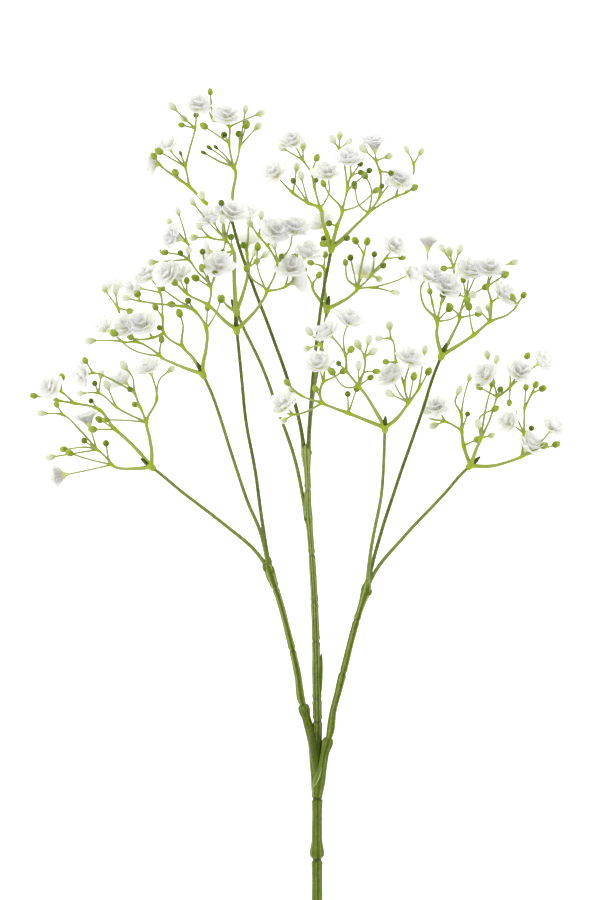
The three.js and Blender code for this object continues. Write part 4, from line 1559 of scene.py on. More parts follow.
@dataclass(frozen=True)
class Route:
    """A twig's way over the surface.

    Args:
        tip: what it ends in.
        lift: how much higher its end lies than its root.
        points: x and y along it; the first is a point that an earlier route passes.
    """

    tip: Tip
    lift: float
    points: tuple[Spot, ...]

    @classmethod
    def to(cls, tip: Tip, lift: float, *points: Spot) -> "Route":
        """A route that ends in that tip."""
        return cls(tip, lift, points)


twig, pale, green, dark, small, bloom, trumpet = (partial(Route.to, tip) for tip in Tip)


@dataclass
class Limb:
    """A grown twig.

    Args:
        tip: what it ends in.
        points: its points.
        thick: whether it is one of the arms that leave the bead.
        joints: the numbers of its points where other limbs leave it.
    """

    tip: Tip
    points: list[np.ndarray]
    thick: bool
    joints: set[int] = field(default_factory=set)


@dataclass(frozen=True)
class SprayPlan:
    """A spray's layout.

    Args:
        hub: the middle of its bead.
        routes: its twigs, each after the one that it grows from.
    """

    hub: Place
    routes: Sequence[Route]

    def limbs(self) -> list[Limb]:
        """Grows the twigs, each from the nearest point already there.

        The first twig that starts from the bare end of another carries that one on.

        Returns:
            The limbs.
        """
        limbs: list[Limb] = []
        grown: list[tuple[np.ndarray, Limb | None, int]] = [(np.array(self.hub, float), None, 0)]
        for route in self.routes:
            start = np.array(route.points[0])
            root, owner, number = min(grown, key=lambda other: np.linalg.norm(other[0][:2] - start))
            flat = [root[:2], *route.points[1:]]
            points = raised(flat, root[2], root[2] + route.lift)[1:]
            if owner and owner.tip is Tip.TWIG and number == len(owner.points) - 1:
                owner.joints.add(number)
                owner.points += points
                owner.tip = route.tip
                grown += [(p, owner, number + 1 + i) for i, p in enumerate(points)]
                continue
            if owner:
                owner.joints.add(number)
            limb = Limb(route.tip, [root, *points], owner is None)
            limbs.append(limb)
            grown += [(p, limb, 1 + i) for i, p in enumerate(points)]
        return limbs


TWIG_STEP = 0.7  # length between a twig's rings of corners
ROOT_REACH, JOINT_REACH = 1.5, 1.6  # how far the swelling of a root and of a joint reaches
LAST_TWIG_FLARE = 0.06  # how much thicker a last twig is at its root
TWIG_WAVE, TWIG_WAVE_LENGTH = 0.025, 1.9  # height and length of the unevenness along a twig
HANGING = -0.4  # the upward share of a twig's direction under which its bloom hangs
HANG_SHARE = 0.3  # how much of that share a hanging bloom keeps
BEAD_OUTLINE = (
    (-2.0, 1.08), (-1.5, 1.25), (-0.8, 1.42), (0.0, 1.5), (0.6, 1.42), (1.1, 1.25), (1.5, 1.08),
)
BEAD_TONE = 0.6
CALYX_OUTLINE = (
    (-0.5, 0.42), (0.1, 0.55), (0.7, 0.75), (1.3, 1.0), (1.9, 1.3), (2.4, 1.5), (2.7, 1.45),
)


@dataclass(frozen=True)
class Spray:
    """A spray: a bead, its branching twigs, buds and blooms.

    Args:
        node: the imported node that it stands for.
        plan: its layout.
        along: the direction of the stalk through its bead.
        arm_radius: of a twig that leaves the bead.
        twig_radius: of a twig that branches again.
        end_radius: of the last twigs.
        joint_swell: how much thicker a limb is at a joint.
        bloom_tilt: how far a bloom turns up from its twig's direction.
        tilt_spread: how much that varies.
        least_rise: how much a bloom rises at least, but for those that hang.
        bloom_depth: from the foot of a calyx to the middle of its petals.
        calyx_grip: how far a twig reaches into its bloom's calyx.
        hole_radius: of the hole through the bead.
        hole_reach: how far that hole is cut to both sides of the bead's middle.
        sides: corners round a twig.
    """

    node: str
    plan: SprayPlan
    along: np.ndarray
    arm_radius: float = 0.92
    twig_radius: float = 0.54
    end_radius: float = 0.35
    joint_swell: float = 0.26
    bloom_tilt: float = 0.34
    tilt_spread: float = 0.34
    least_rise: float = 0.35
    bloom_depth: float = 4.5
    calyx_grip: float = 0.8
    hole_radius: float = 0.98
    hole_reach: float = 7.0
    sides: int = 10

    def bead(self, hub: np.ndarray) -> Shell:
        """The bead that the arms grow from, round its middle."""
        tone = np.full(len(BEAD_OUTLINE), BEAD_TONE)
        return turned(hub, self.along, BEAD_OUTLINE, sides=24, lobes=5, lobe_depth=0.12, tone=tone)

    def facing(self, limb: Limb, seed: str) -> np.ndarray:
        """The direction that a limb's bloom opens in.

        Args:
            limb: the limb.
            seed: varies the direction.

        Returns:
            The direction.
        """
        tilt = self.bloom_tilt + random.Random(seed).uniform(-self.tilt_spread, self.tilt_spread)
        along = unit(limb.points[-1] - limb.points[-2])
        if limb.tip is Tip.TRUMPET:
            return along
        if along[2] < HANGING:
            return unit(along * np.array([1, 1, HANG_SHARE]))
        return unit(along + np.array([0, 0, max(tilt, self.least_rise - along[2])]))

    def twig_shell(self, limb: Limb, points: Sequence[np.ndarray]) -> Shell:
        """A limb's twig, swollen at its joints.

        Args:
            limb: the limb.
            points: the points of its middle line.

        Returns:
            The closed twig.
        """
        path = Path.through(points, TWIG_STEP)
        distance = path.distances()
        foot = self.end_radius + LAST_TWIG_FLARE
        if limb.thick:
            foot = self.arm_radius
        elif limb.joints:
            foot = self.twig_radius
        radius = foot + (self.end_radius - foot) * (distance / distance[-1])
        near = bell(distance, ROOT_REACH)
        for joint in limb.joints:
            at = path.marks[min(joint, len(path.marks) - 1)]
            near = np.maximum(near, bell(distance - at, JOINT_REACH))
        radius = radius + self.joint_swell * near * (0.6 + 0.4 * foot / self.arm_radius)
        thick = (radius - self.end_radius) / (self.arm_radius - self.end_radius)
        tone = np.clip(0.5 * thick + 0.6 * near, 0, 1)
        turn = distance[:, None] / TWIG_WAVE_LENGTH + 2 * corner_angles(self.sides)
        relief = TWIG_WAVE * np.sin(turn + foot * 9)
        return swept(path, radius, self.sides, relief, tone)

    @staticmethod
    def calyx(foot: np.ndarray, facing: np.ndarray) -> Shell:
        """The green cup under a bloom.

        Args:
            foot: its foot.
            facing: the direction that it opens in.

        Returns:
            The closed cup.
        """
        tone = 1 - np.linspace(0.35, 1.0, len(CALYX_OUTLINE))
        return turned(
            foot, facing, CALYX_OUTLINE, sides=20, lobes=5, lobe_depth=0.16, tone=tone, pale=0.9
        )

    def add(self, limb: Limb, seed: str, twigs: Piece, buds: Piece, blooms: Piece) -> None:
        """Adds a limb's twig and what the twig ends in.

        Args:
            limb: the limb.
            seed: varies its bud or bloom.
            twigs: the piece that takes the twig and a bloom's calyx.
            buds: the piece that takes a bud.
            blooms: the piece that takes a bloom's petals.
        """
        *points, tip = limb.points
        if limb.tip in BUDS:
            shape = BUDS[limb.tip]
            along = unit(tip - points[-1])
            buds.shells.append(shape.shell(tip, along, random.Random(seed)))
            points.append(tip - along * (shape.length * shape.sunk))
        elif limb.tip is Tip.TWIG:
            points.append(tip)
        else:
            facing = self.facing(limb, seed)
            foot = tip - facing * self.bloom_depth
            twigs.shells.append(self.calyx(foot, facing))
            rings, core = BLOOMS[limb.tip]
            blooms.shells += Bloom(foot, facing, rings, core, seed).shells()
            points += [foot, foot + facing * self.calyx_grip]
        twigs.shells.append(self.twig_shell(limb, points))

    def build(
        self,
        plastic: bpy.types.Material,
        skins: Sequence[bpy.types.Material],
        cloth: bpy.types.Material,
    ) -> list[bpy.types.Object]:
        """Builds the spray's moulded twigs, buds and blooms and dresses them.

        Args:
            plastic: the finish of its twigs.
            skins: the finishes of its pale, green and dark buds.
            cloth: the finish of its petals.

        Returns:
            The three pieces.
        """
        twigs = Piece(f"{self.node}_twigs", self.node, "spray", [plastic])
        buds = Piece(f"{self.node}_buds", self.node, "buds", skins)
        blooms = Piece(f"{self.node}_blooms", self.node, "petals", [cloth])
        hub = np.array(self.plan.hub, float)
        reach = self.along * self.hole_reach
        twigs.shells.append(self.bead(hub))
        twigs.holes.append(
            rod(hub - reach, hub + reach, self.hole_radius, sides=20, step=2.0, dome=HOLE_DOME)
        )
        for number, limb in enumerate(self.plan.limbs()):
            self.add(limb, f"{self.node} {number}", twigs, buds, blooms)
        made = []
        for piece, crease in ((twigs, 50.0), (buds, 60.0), (blooms, 75.0)):
            mesh = piece.moulded() if piece is twigs else piece.gathered()
            rest_on_surface(mesh)
            made.append(piece.place(mesh, crease))
        return made


# -------------------- Layout --------------------

LEFT_LOW = SprayPlan((-61, 48.5, 22), (
    twig(8, (-61, 48.5), (-60.7, 54), (-61.5, 60), (-62.7, 66.3)),
    twig(-2, (-61, 48.5), (-66, 54.5), (-72, 60.5), (-75.5, 63.5)),
    twig(-8, (-61, 48.5), (-66, 47.8), (-77, 49.3)),
    bloom(4, (-62.7, 66.3), (-58.5, 76), (-60.3, 84.5), (-62, 88.8)),
    pale(-3, (-58.5, 76), (-57, 84), (-53, 87.5)),
    twig(3, (-62.7, 66.3), (-65, 72), (-67.3, 78)),
    pale(4, (-67.3, 78), (-68.5, 85), (-71.5, 88.8)),
    bloom(-4, (-67.3, 78), (-73, 84.5)),
    dark(4, (-67.3, 78), (-69.2, 79.5)),
    green(-4, (-65, 72), (-67.5, 73.5)),
    twig(-3, (-62.7, 66.3), (-75, 72.5), (-82, 78)),
    bloom(4, (-67.3, 78), (-74, 82), (-84, 86), (-89, 85)),
    green(3, (-84, 86), (-87, 91)),
    pale(2, (-82, 78), (-89, 78)),
    pale(4, (-75, 72.5), (-78.5, 81)),
    pale(-3, (-82, 78), (-81, 85.5)),
    dark(2, (-82, 78), (-83.5, 82)),
    green(3, (-62.7, 66.3), (-70, 67), (-79, 67.3)),
    twig(1, (-75.5, 63.5), (-82, 71.5), (-92, 74), (-98, 75)),
    green(3, (-98, 75), (-108.2, 77)),
    bloom(5, (-92, 74), (-97, 78.5), (-102, 81)),
    green(-4, (-97, 78.5), (-97, 84.5)),
    pale(-3, (-98, 75), (-106, 81.5)),
    dark(-3, (-82, 71.5), (-85.3, 75)),
    green(3, (-75.5, 63.5), (-84.5, 63.5)),
    green(-3, (-75.5, 63.5), (-82, 67.5)),
    dark(5, (-77, 49.3), (-79.2, 58)),
    green(4, (-77, 49.3), (-88, 52), (-94, 54)),
    trumpet(-9.5, (-77, 49.3), (-88, 46.8), (-98.5, 44.7)),
    twig(2, (-77, 49.3), (-83, 55.3)),
    green(-3, (-83, 55.3), (-96.5, 55.5)),
    pale(3, (-83, 55.3), (-101.5, 52.3)),
    dark(5, (-83, 55.3), (-88, 59)),
    trumpet(0, (-83, 55.3), (-85, 62), (-87, 68)),
    pale(6, (-83, 55.3), (-90, 63.5), (-96.5, 69.3), (-105, 70)),
    green(4, (-96.5, 69.3), (-99, 73.5)),
))
LEFT_MIDDLE = SprayPlan((-40, 85.5, 44), (
    twig(6, (-40, 85.5), (-39.8, 90), (-38.7, 95), (-38.5, 103.5)),
    twig(-3, (-40, 85.5), (-44, 92), (-48, 96.5)),
    twig(-8, (-40, 85.5), (-46, 87.5), (-52, 90), (-57, 92.8)),
    twig(-2, (-38.5, 103.5), (-43, 110.5)),
    green(1, (-38.5, 103.5), (-38, 112)),
    green(-4, (-38.5, 103.5), (-34.5, 110), (-32.5, 115.5)),
    green(3, (-43, 110.5), (-50, 115), (-56.5, 119.8)),
    green(-3, (-43, 110.5), (-48, 112.5), (-52.5, 113.3)),
    twig(2, (-48, 112.5), (-65, 114.5)),
    pale(3, (-65, 114.5), (-70.5, 115.6)),
    green(-3, (-65, 114.5), (-66, 117.5)),
    dark(2, (-43, 110.5), (-45.8, 114.7)),
    green(4, (-48, 96.5), (-48, 106), (-49.3, 109.8)),
    twig(1, (-48, 96.5), (-55.5, 102)),
    twig(3, (-55.5, 102), (-56, 108), (-57, 118)),
    bloom(2, (-57, 118), (-62, 126)),
    bloom(-4, (-57, 118), (-68, 120.5)),
    green(-3, (-56, 108), (-59, 112.3)),
    dark(3, (-55.5, 102), (-57.3, 104)),
    twig(-3, (-55.5, 102), (-60, 100), (-69, 101)),
    bloom(5, (-60, 100), (-64, 106)),
    bloom(3, (-69, 101), (-71, 105)),
    green(3, (-57, 92.8), (-56.5, 99.5)),
    twig(2, (-57, 92.8), (-66.5, 98.4)),
    green(4, (-66.5, 98.4), (-72, 98.5), (-75.5, 101.8)),
    pale(1, (-72, 98.5), (-79, 99), (-85, 98.8)),
    green(3, (-66.5, 98.4), (-69, 100.5)),
    bloom(-3, (-57, 92.8), (-67, 94.8), (-80.5, 105)),
    twig(-4, (-69, 101), (-74, 112)),
    pale(4, (-74, 112), (-75, 119)),
    pale(-2, (-74, 112), (-79.5, 119.5)),
    bloom(-6, (-74, 112), (-76, 122)),
    green(3, (-74, 112), (-69, 110.7)),
))
LEFT_HIGH = SprayPlan((-26.3, 103, 62), (
    twig(6, (-26.3, 103), (-30, 105.5), (-37.5, 112.5)),
    twig(-3, (-26.3, 103), (-22, 107), (-17, 113), (-14.5, 118.3)),
    twig(4, (-26.3, 103), (-27.3, 120), (-27.5, 125.5), (-28, 135)),
    twig(1, (-37.5, 112.5), (-46, 117)),
    green(3, (-46, 117), (-51, 121.5)),
    bloom(5, (-46, 117), (-54, 125)),
    bloom(-3, (-46, 117), (-50, 125.3)),
    green(-2, (-46, 117), (-46, 122.3)),
    twig(3, (-37.5, 112.5), (-36.5, 119.5)),
    twig(1, (-36.5, 119.5), (-42, 126), (-45.3, 130.5)),
    green(4, (-36.5, 119.5), (-39.8, 127)),
    dark(2, (-36.5, 119.5), (-38.8, 129), (-39.7, 133.6)),
    green(-3, (-36.5, 119.5), (-42.6, 123.3)),
    dark(5, (-36.5, 119.5), (-34.8, 125)),
    green(2, (-45.3, 130.5), (-55, 133.5)),
    pale(-4, (-45.3, 130.5), (-60, 129.5)),
    pale(4, (-45.3, 130.5), (-45.1, 133.8)),
    dark(3, (-45.3, 130.5), (-48.5, 133)),
    twig(4, (-45.3, 130.5), (-45.8, 137)),
    trumpet(3, (-45.8, 137), (-48.7, 138.3), (-51.2, 139.3)),
    pale(-3, (-45.8, 137), (-52.8, 145.4)),
    pale(3, (-45.8, 137), (-47, 142), (-49.3, 149.2)),
    bloom(4, (-36.5, 119.5), (-34.5, 124), (-33, 128.5)),
    green(3, (-14.5, 118.3), (-20, 123), (-22.5, 127)),
    twig(2, (-14.5, 118.3), (-11, 125.5), (-10.3, 130)),
    pale(4, (-10.3, 130), (-11.5, 136.5)),
    twig(1, (-10.3, 130), (-14, 136), (-17.5, 140)),
    pale(-3, (-17.5, 140), (-21, 145)),
    pale(3, (-17.5, 140), (-16.5, 148)),
    dark(4, (-10.3, 130), (-8.5, 132)),
    bloom(2, (-10.3, 130), (-5.5, 135), (-3.5, 144)),
    green(-2, (-10.3, 130), (-3.5, 132)),
    bloom(-4, (-14.5, 118.3), (-7, 120), (-0.5, 129), (1.5, 134.5)),
    green(-3, (-14.5, 118.3), (-18.3, 130), (-18, 136)),
    bloom(5, (-14, 136), (-11, 142.5)),
    bloom(4, (-7, 120), (-5, 128)),
    bloom(-3, (-7, 120), (-1.5, 123)),
    twig(0, (-28, 135), (-30.5, 138.5)),
    pale(10, (-30.5, 138.5), (-32, 146)),
    bloom(4, (-30.5, 138.5), (-29.3, 144), (-27.8, 149.5)),
    bloom(0, (-30.5, 138.5), (-34, 143), (-36.8, 148)),
    dark(5, (-30.5, 138.5), (-32.3, 153)),
    dark(3, (-30.5, 138.5), (-31.7, 133.4)),
    dark(4, (-28, 135), (-28.5, 139.5)),
    pale(2, (-30.5, 138.5), (-36.3, 144.2), (-43.7, 153.2)),
    twig(-2, (-30.5, 138.5), (-37, 139.5)),
    pale(2, (-37, 139.5), (-41, 143.5)),
    pale(-3, (-37, 139.5), (-43.5, 139.5)),
))
BACK_LEFT = SprayPlan((-26.8, 111, 17), (
    twig(-3, (-26.8, 111), (-27.3, 120), (-27.5, 125.5), (-28, 135)),
    twig(2, (-26.8, 111), (-24.5, 117), (-22, 128.5)),
    green(3, (-26.8, 111), (-30, 112.8), (-33, 116)),
    dark(4, (-28, 135), (-34.8, 132.5)),
    bloom(-10.5, (-28, 135), (-40.5, 135.5)),
    green(-4, (-28, 135), (-34, 129)),
    twig(2, (-22, 128.5), (-22.5, 134)),
    bloom(3, (-22.5, 134), (-22, 142), (-21.8, 151)),
    bloom(-6, (-22.5, 134), (-22, 141)),
    pale(4, (-22, 128.5), (-19.4, 134.4)),
    pale(2, (-22, 128.5), (-15.2, 133.6)),
    green(4, (-22, 128.5), (-18.5, 131)),
    dark(2, (-22.5, 134), (-24, 137.5)),
))
TOP_LEFT = SprayPlan((-29, 149, 42), (
    twig(-4, (-29, 149), (-34, 150.5), (-39, 154), (-45.5, 160.5)),
    twig(4, (-29, 149), (-28.7, 152), (-28, 158), (-27.5, 167.5)),
    twig(2, (-45.5, 160.5), (-49, 163), (-57, 169)),
    green(3, (-57, 169), (-59.5, 172.5)),
    bloom(-2, (-57, 169), (-61.5, 169.5)),
    green(3, (-49, 163), (-51, 166)),
    pale(4, (-39, 154), (-40.3, 156.8)),
    twig(3, (-45.5, 160.5), (-47, 168.3)),
    small(3, (-47, 168.3), (-48.8, 173.5)),
    bloom(-4, (-47, 168.3), (-52, 173.5), (-54.5, 178)),
    green(5, (-47, 168.3), (-57.5, 174.3)),
    twig(3, (-47, 168.3), (-45, 176), (-43, 183.5)),
    dark(-3, (-43, 183.5), (-42.7, 189)),
    green(3, (-43, 183.5), (-48.5, 184.7)),
    pale(-3, (-43, 183.5), (-47.5, 187.5)),
    pale(3, (-43, 183.5), (-48.5, 188.5), (-52, 192)),
    bloom(3, (-43, 183.5), (-42, 193.5)),
    small(3, (-27.5, 167.5), (-33, 170), (-39.6, 173.6)),
    small(1, (-27.5, 167.5), (-31.5, 171.5), (-37.4, 175.7)),
    small(-3, (-27.5, 167.5), (-31, 172.5), (-34.8, 176)),
    twig(0, (-27.5, 167.5), (-29.5, 177.5), (-29.5, 184)),
    green(4, (-29.5, 177.5), (-34, 180.5), (-39.5, 184.2)),
    dark(-4, (-29.5, 184), (-36, 187), (-38, 192.5)),
    green(3, (-36, 187), (-37, 198)),
    dark(-3, (-29.5, 177.5), (-31.5, 181)),
    bloom(4, (-29.5, 184), (-30, 189)),
    pale(-3, (-29.5, 184), (-23, 187), (-17, 189.5)),
    twig(-4, (-27.5, 167.5), (-26, 172), (-25.3, 176.5)),
    dark(4, (-25.3, 176.5), (-25.7, 181.3)),
    green(2, (-25.3, 176.5), (-22.5, 185)),
    pale(-3, (-25.3, 176.5), (-18, 184.5)),
    pale(3, (-25.3, 176.5), (-22.9, 191)),
))
TOP = SprayPlan((11.4, 135.5, 56), (
    twig(-5, (11.4, 135.5), (9.5, 141), (7.8, 146), (6.8, 151.3)),
    twig(8, (11.4, 135.5), (13.5, 144), (15.5, 150)),
    twig(0, (11.4, 135.5), (17, 140.5), (21, 144.5), (26, 149.5), (30.5, 156)),
    twig(-2, (6.8, 151.3), (2, 153.5), (-4, 157.5)),
    bloom(3, (-4, 157.5), (-8.5, 162), (-12, 166)),
    dark(3, (2, 153.5), (-3.9, 162.3)),
    pale(-4, (-4, 157.5), (-2.5, 168)),
    pale(5, (2, 153.5), (-0.8, 164)),
    twig(-2, (6.8, 151.3), (4.5, 160), (3.3, 165.5)),
    dark(4, (4.5, 160), (5.2, 162.5)),
    twig(2, (3.3, 165.5), (0, 170.5)),
    bloom(3, (0, 170.5), (-4.5, 179)),
    pale(3, (0, 170.5), (-8.3, 175.3)),
    pale(-4, (0, 170.5), (0, 176.3)),
    green(3, (3.3, 165.5), (5.5, 171.5)),
    bloom(6, (6.8, 151.3), (10.5, 159), (9.8, 166)),
    bloom(-8, (9.5, 141), (7, 146.5)),
    dark(-4, (11.4, 135.5), (8.2, 139.3)),
    green(3, (11.4, 135.5), (8, 137)),
    dark(4, (11.4, 135.5), (17.5, 139.3)),
    dark(3, (13.5, 144), (10.2, 145)),
    green(4, (15.5, 150), (10, 157), (8, 160.7)),
    twig(3, (15.5, 150), (17.5, 158), (19, 163.5)),
    dark(4, (17.5, 158), (20.3, 160.5)),
    dark(3, (19, 163.5), (22.8, 165)),
    dark(-4, (19, 163.5), (22.7, 168.7)),
    dark(-3, (17.5, 158), (26.3, 166)),
    twig(-3, (17.5, 158), (14.3, 174.3)),
    pale(3, (14.3, 174.3), (11.8, 178)),
    pale(-3, (14.3, 174.3), (14.5, 180)),
    pale(4, (14.3, 174.3), (18, 177.3)),
    bloom(4, (19, 163.5), (18.5, 171)),
    green(4, (15.5, 150), (21, 151.5), (29, 158)),
    green(4, (26, 149.5), (23, 151.5), (20.3, 160)),
    green(-4, (26, 149.5), (26.5, 161), (24.5, 164.5)),
    dark(3, (30.5, 156), (31.3, 160)),
    dark(-3, (30.5, 156), (34.5, 161)),
    twig(2, (30.5, 156), (30.5, 166), (29, 170)),
    trumpet(2, (29, 170), (28.2, 177)),
    pale(4, (29, 170), (24, 174.5)),
    pale(-4, (29, 170), (34, 172)),
    dark(3, (30.5, 166), (35, 165)),
    twig(-3, (26, 149.5), (37, 156), (41, 157.5)),
    green(2, (41, 157.5), (44.3, 159.5)),
    bloom(4, (37, 156), (38.5, 163)),
    twig(-3, (41, 157.5), (44, 169)),
    pale(3, (44, 169), (41.3, 174.5)),
    pale(-3, (44, 169), (47, 174)),
))
BACK = SprayPlan((9.7, 112, 20), (
    twig(3, (9.7, 112), (15, 114.5), (19, 117), (21.8, 120)),
    twig(-3, (9.7, 112), (8.5, 122), (8.3, 128.5)),
    twig(3, (9.7, 112), (7.5, 114.5), (3.8, 121.5)),
    green(4, (21.8, 120), (18, 123.5), (17, 130.5)),
    dark(3, (21.8, 120), (19, 132.5)),
    twig(2, (21.8, 120), (27.3, 125.5)),
    dark(3, (27.3, 125.5), (28.6, 133.8)),
    twig(-2, (21.8, 120), (24.5, 134)),
    green(3, (24.5, 134), (25.8, 139)),
    green(-3, (24.5, 134), (21, 139.5)),
    twig(1, (27.3, 125.5), (33, 132)),
    bloom(3, (33, 132), (37, 137.5)),
    green(-4, (33, 132), (39.8, 132.7)),
    dark(4, (27.3, 125.5), (32.3, 129.2)),
    pale(-4, (27.3, 125.5), (30.5, 124)),
    twig(-4, (21.8, 120), (28, 120.5)),
    pale(4, (28, 120.5), (37, 118.5)),
    bloom(-3, (28, 120.5), (38, 123.5), (44.5, 126.7)),
    bloom(-20.3, (21.8, 120), (25, 128)),
    green(4, (8.3, 128.5), (3, 130.5)),
    green(-3, (8.3, 128.5), (9, 134)),
    green(3, (3.8, 121.5), (6.5, 125.5)),
    green(-4, (3.8, 121.5), (0.5, 128)),
))
RIGHT_HIGH = SprayPlan((55.3, 93, 44), (
    twig(4, (55.3, 93), (53.3, 101), (53.3, 106.5)),
    twig(-4, (55.3, 93), (58.5, 99), (60.5, 103), (62.5, 108)),
    twig(2, (55.3, 93), (62, 97), (68, 101), (74.5, 106.3)),
    bloom(6, (53.3, 106.5), (48, 113), (47.3, 121), (50.5, 125.5)),
    twig(-3, (53.3, 106.5), (51.5, 114)),
    green(3, (51.5, 114), (50.5, 118.5)),
    trumpet(-4, (51.5, 114), (49.5, 130), (50, 138.5)),
    twig(2, (53.3, 106.5), (55, 113.8)),
    dark(4, (55, 113.8), (55.4, 117)),
    bloom(3, (55, 113.8), (57.5, 120.5)),
    green(-3, (53.3, 106.5), (58.5, 111.7)),
    green(4, (53.3, 106.5), (60, 107.8), (65.5, 114.5)),
    twig(-7, (55, 113.8), (60, 128)),
    pale(4, (60, 128), (55.5, 135.5)),
    pale(-4, (60, 128), (58.5, 134.5)),
    pale(2, (60, 128), (62.5, 135)),
    green(4, (60, 128), (56, 127.5)),
    green(4, (62.5, 108), (58.5, 112.5)),
    green(4, (62.5, 108), (70, 109.5)),
    twig(2, (62.5, 108), (65, 116)),
    pale(4, (65, 116), (67.5, 117)),
    dark(-4, (65, 116), (62, 117.5)),
    green(-4, (65, 116), (64, 123.3)),
    green(3, (65, 116), (69, 125)),
    bloom(5, (65, 116), (66.5, 127.5)),
    green(3, (65, 116), (73, 120.3)),
    green(4, (68, 101), (66.5, 108), (66, 112.5)),
    twig(2, (74.5, 106.3), (82, 109.5), (85, 112.7)),
    green(3, (85, 112.7), (83.3, 116)),
    green(-3, (85, 112.7), (88, 117)),
    twig(2, (74.5, 106.3), (75, 114), (73.5, 120.5)),
    bloom(3, (73.5, 120.5), (74.5, 128.5)),
    green(4, (73.5, 120.5), (80.5, 125)),
    bloom(1, (75, 114), (80.5, 118)),
    pale(4, (74.5, 106.3), (70, 111)),
    pale(-4, (74.5, 106.3), (74, 112)),
    pale(-3, (73.5, 120.5), (78, 128), (84, 130)),
))
RIGHT_MIDDLE = SprayPlan((32.5, 64, 58), (
    twig(2, (32.5, 64), (25, 67), (18, 69.8), (12, 72), (7.8, 74)),
    twig(7, (32.5, 64), (28, 72), (24.5, 77.5), (22, 80.5)),
    twig(-3, (32.5, 64), (37, 67.5), (42, 74)),
    dark(4, (18, 69.8), (17.7, 77.5)),
    green(-3, (18, 69.8), (21.5, 80)),
    twig(2, (7.8, 74), (8, 82)),
    green(3, (8, 82), (12, 84), (16, 86.5)),
    bloom(4, (8, 82), (6, 90)),
    green(3, (7.8, 74), (5, 79.5)),
    twig(1, (7.8, 74), (-1, 77)),
    green(3, (-1, 77), (-6.5, 82)),
    pale(-3, (-1, 77), (-5, 79)),
    twig(-2, (7.8, 74), (-4, 69.3)),
    pale(3, (-4, 69.3), (-9.5, 70.5)),
    pale(-3, (-4, 69.3), (-7.5, 67)),
    bloom(4, (-4, 69.3), (-8, 74)),
    twig(1, (22, 80.5), (17, 86.5)),
    dark(3, (17, 86.5), (14, 89.5)),
    bloom(-3, (17, 86.5), (16.8, 92.5), (12.5, 99), (9, 102.5)),
    bloom(4, (16.8, 92.5), (16.3, 101), (18.5, 107.5)),
    green(4, (16.8, 92.5), (19, 95)),
    twig(3, (22, 80.5), (24.3, 92)),
    pale(-3, (24.3, 92), (21.8, 97)),
    pale(3, (24.3, 92), (26, 98.5)),
    pale(0, (24.3, 92), (27.5, 94)),
    pale(5, (22, 80.5), (22, 88.5)),
    green(3, (22, 80.5), (24.5, 86), (29, 86.3)),
    green(-4, (22, 80.5), (26.8, 84)),
    green(4, (22, 80.5), (17, 80), (11.3, 86.3)),
    green(-4, (42, 74), (46, 79.5), (50, 86.5)),
    twig(2, (42, 74), (40.3, 81)),
    green(4, (42, 74), (44, 84.5)),
    bloom(3, (40.3, 81), (43, 92)),
    pale(-3, (46, 79.5), (48.5, 95)),
    bloom(5, (42, 74), (38.5, 77.5), (34.5, 85)),
    pale(4, (42, 74), (34.5, 77.5)),
    twig(2, (40.3, 81), (37, 90), (34.8, 99.3)),
    green(4, (37, 90), (32.7, 90.2)),
    pale(3, (34.8, 99.3), (30.3, 99.5)),
    pale(-3, (34.8, 99.3), (34.3, 104.5)),
    twig(-3, (8, 82), (7, 97)),
    pale(3, (7, 97), (2.5, 102)),
    pale(-3, (7, 97), (1.5, 95.5)),
))
RIGHT_LOW = SprayPlan((67.3, 49, 22), (
    twig(4, (67.3, 49), (64.5, 57), (63.7, 63), (63.5, 69.5)),
    twig(8, (67.3, 49), (69.5, 55.5), (71.3, 60)),
    twig(-4, (67.3, 49), (76, 48.8), (82, 50.3), (88, 52.5)),
    twig(1, (63.7, 63), (57, 66.7), (51, 68)),
    pale(3, (51, 68), (49.5, 70.5)),
    pale(-3, (57, 66.7), (52.5, 65)),
    bloom(4, (57, 66.7), (53.5, 73)),
    dark(4, (63.7, 63), (66, 69.7)),
    pale(3, (63.5, 69.5), (61, 75), (62.5, 79)),
    pale(-4, (63.5, 69.5), (65, 78), (67, 84.5)),
    green(3, (71.3, 60), (71, 68.5), (77, 71.8)),
    green(-4, (71.3, 60), (74, 75), (76, 82)),
    pale(4, (71.3, 60), (70, 65.5)),
    pale(-4, (71.3, 60), (75.5, 61)),
    green(4, (64.5, 57), (70, 59.5)),
    twig(1, (71.3, 60), (74.5, 66.5), (77.7, 76.5)),
    dark(4, (77.7, 76.5), (79, 79.5)),
    green(3, (77.7, 76.5), (70.5, 80.3)),
    bloom(3, (77.7, 76.5), (76, 82), (72.5, 86)),
    pale(-4, (76, 82), (74, 93.5)),
    pale(3, (76, 82), (77.5, 91.5)),
    twig(1, (77.7, 76.5), (83, 80.5)),
    bloom(4, (83, 80.5), (87, 87)),
    green(-4, (83, 80.5), (83, 89.5)),
    green(3, (83, 80.5), (82.5, 74)),
    green(-5, (83, 80.5), (90, 93)),
    bloom(2, (83, 80.5), (92, 88), (96.5, 91.5)),
    bloom(-15.7, (88, 52.5), (92, 57.5)),
    bloom(3, (88, 52.5), (91.8, 57.7)),
    twig(3, (88, 52.5), (88.8, 62), (89, 72)),
    green(4, (89, 72), (89.5, 80.5)),
    green(-4, (88.8, 62), (85, 70.5)),
    twig(0, (89, 72), (92, 78)),
    green(2, (92, 78), (93.5, 81.5)),
    green(-3, (92, 78), (96.5, 80)),
    bloom(5, (88.8, 62), (82, 67)),
    dark(-3, (88.8, 62), (92, 64)),
    bloom(3, (88, 52.5), (97.5, 60.5), (101.5, 65)),
    green(4, (88, 52.5), (97, 57)),
    green(-3, (88, 52.5), (102, 57.5)),
))
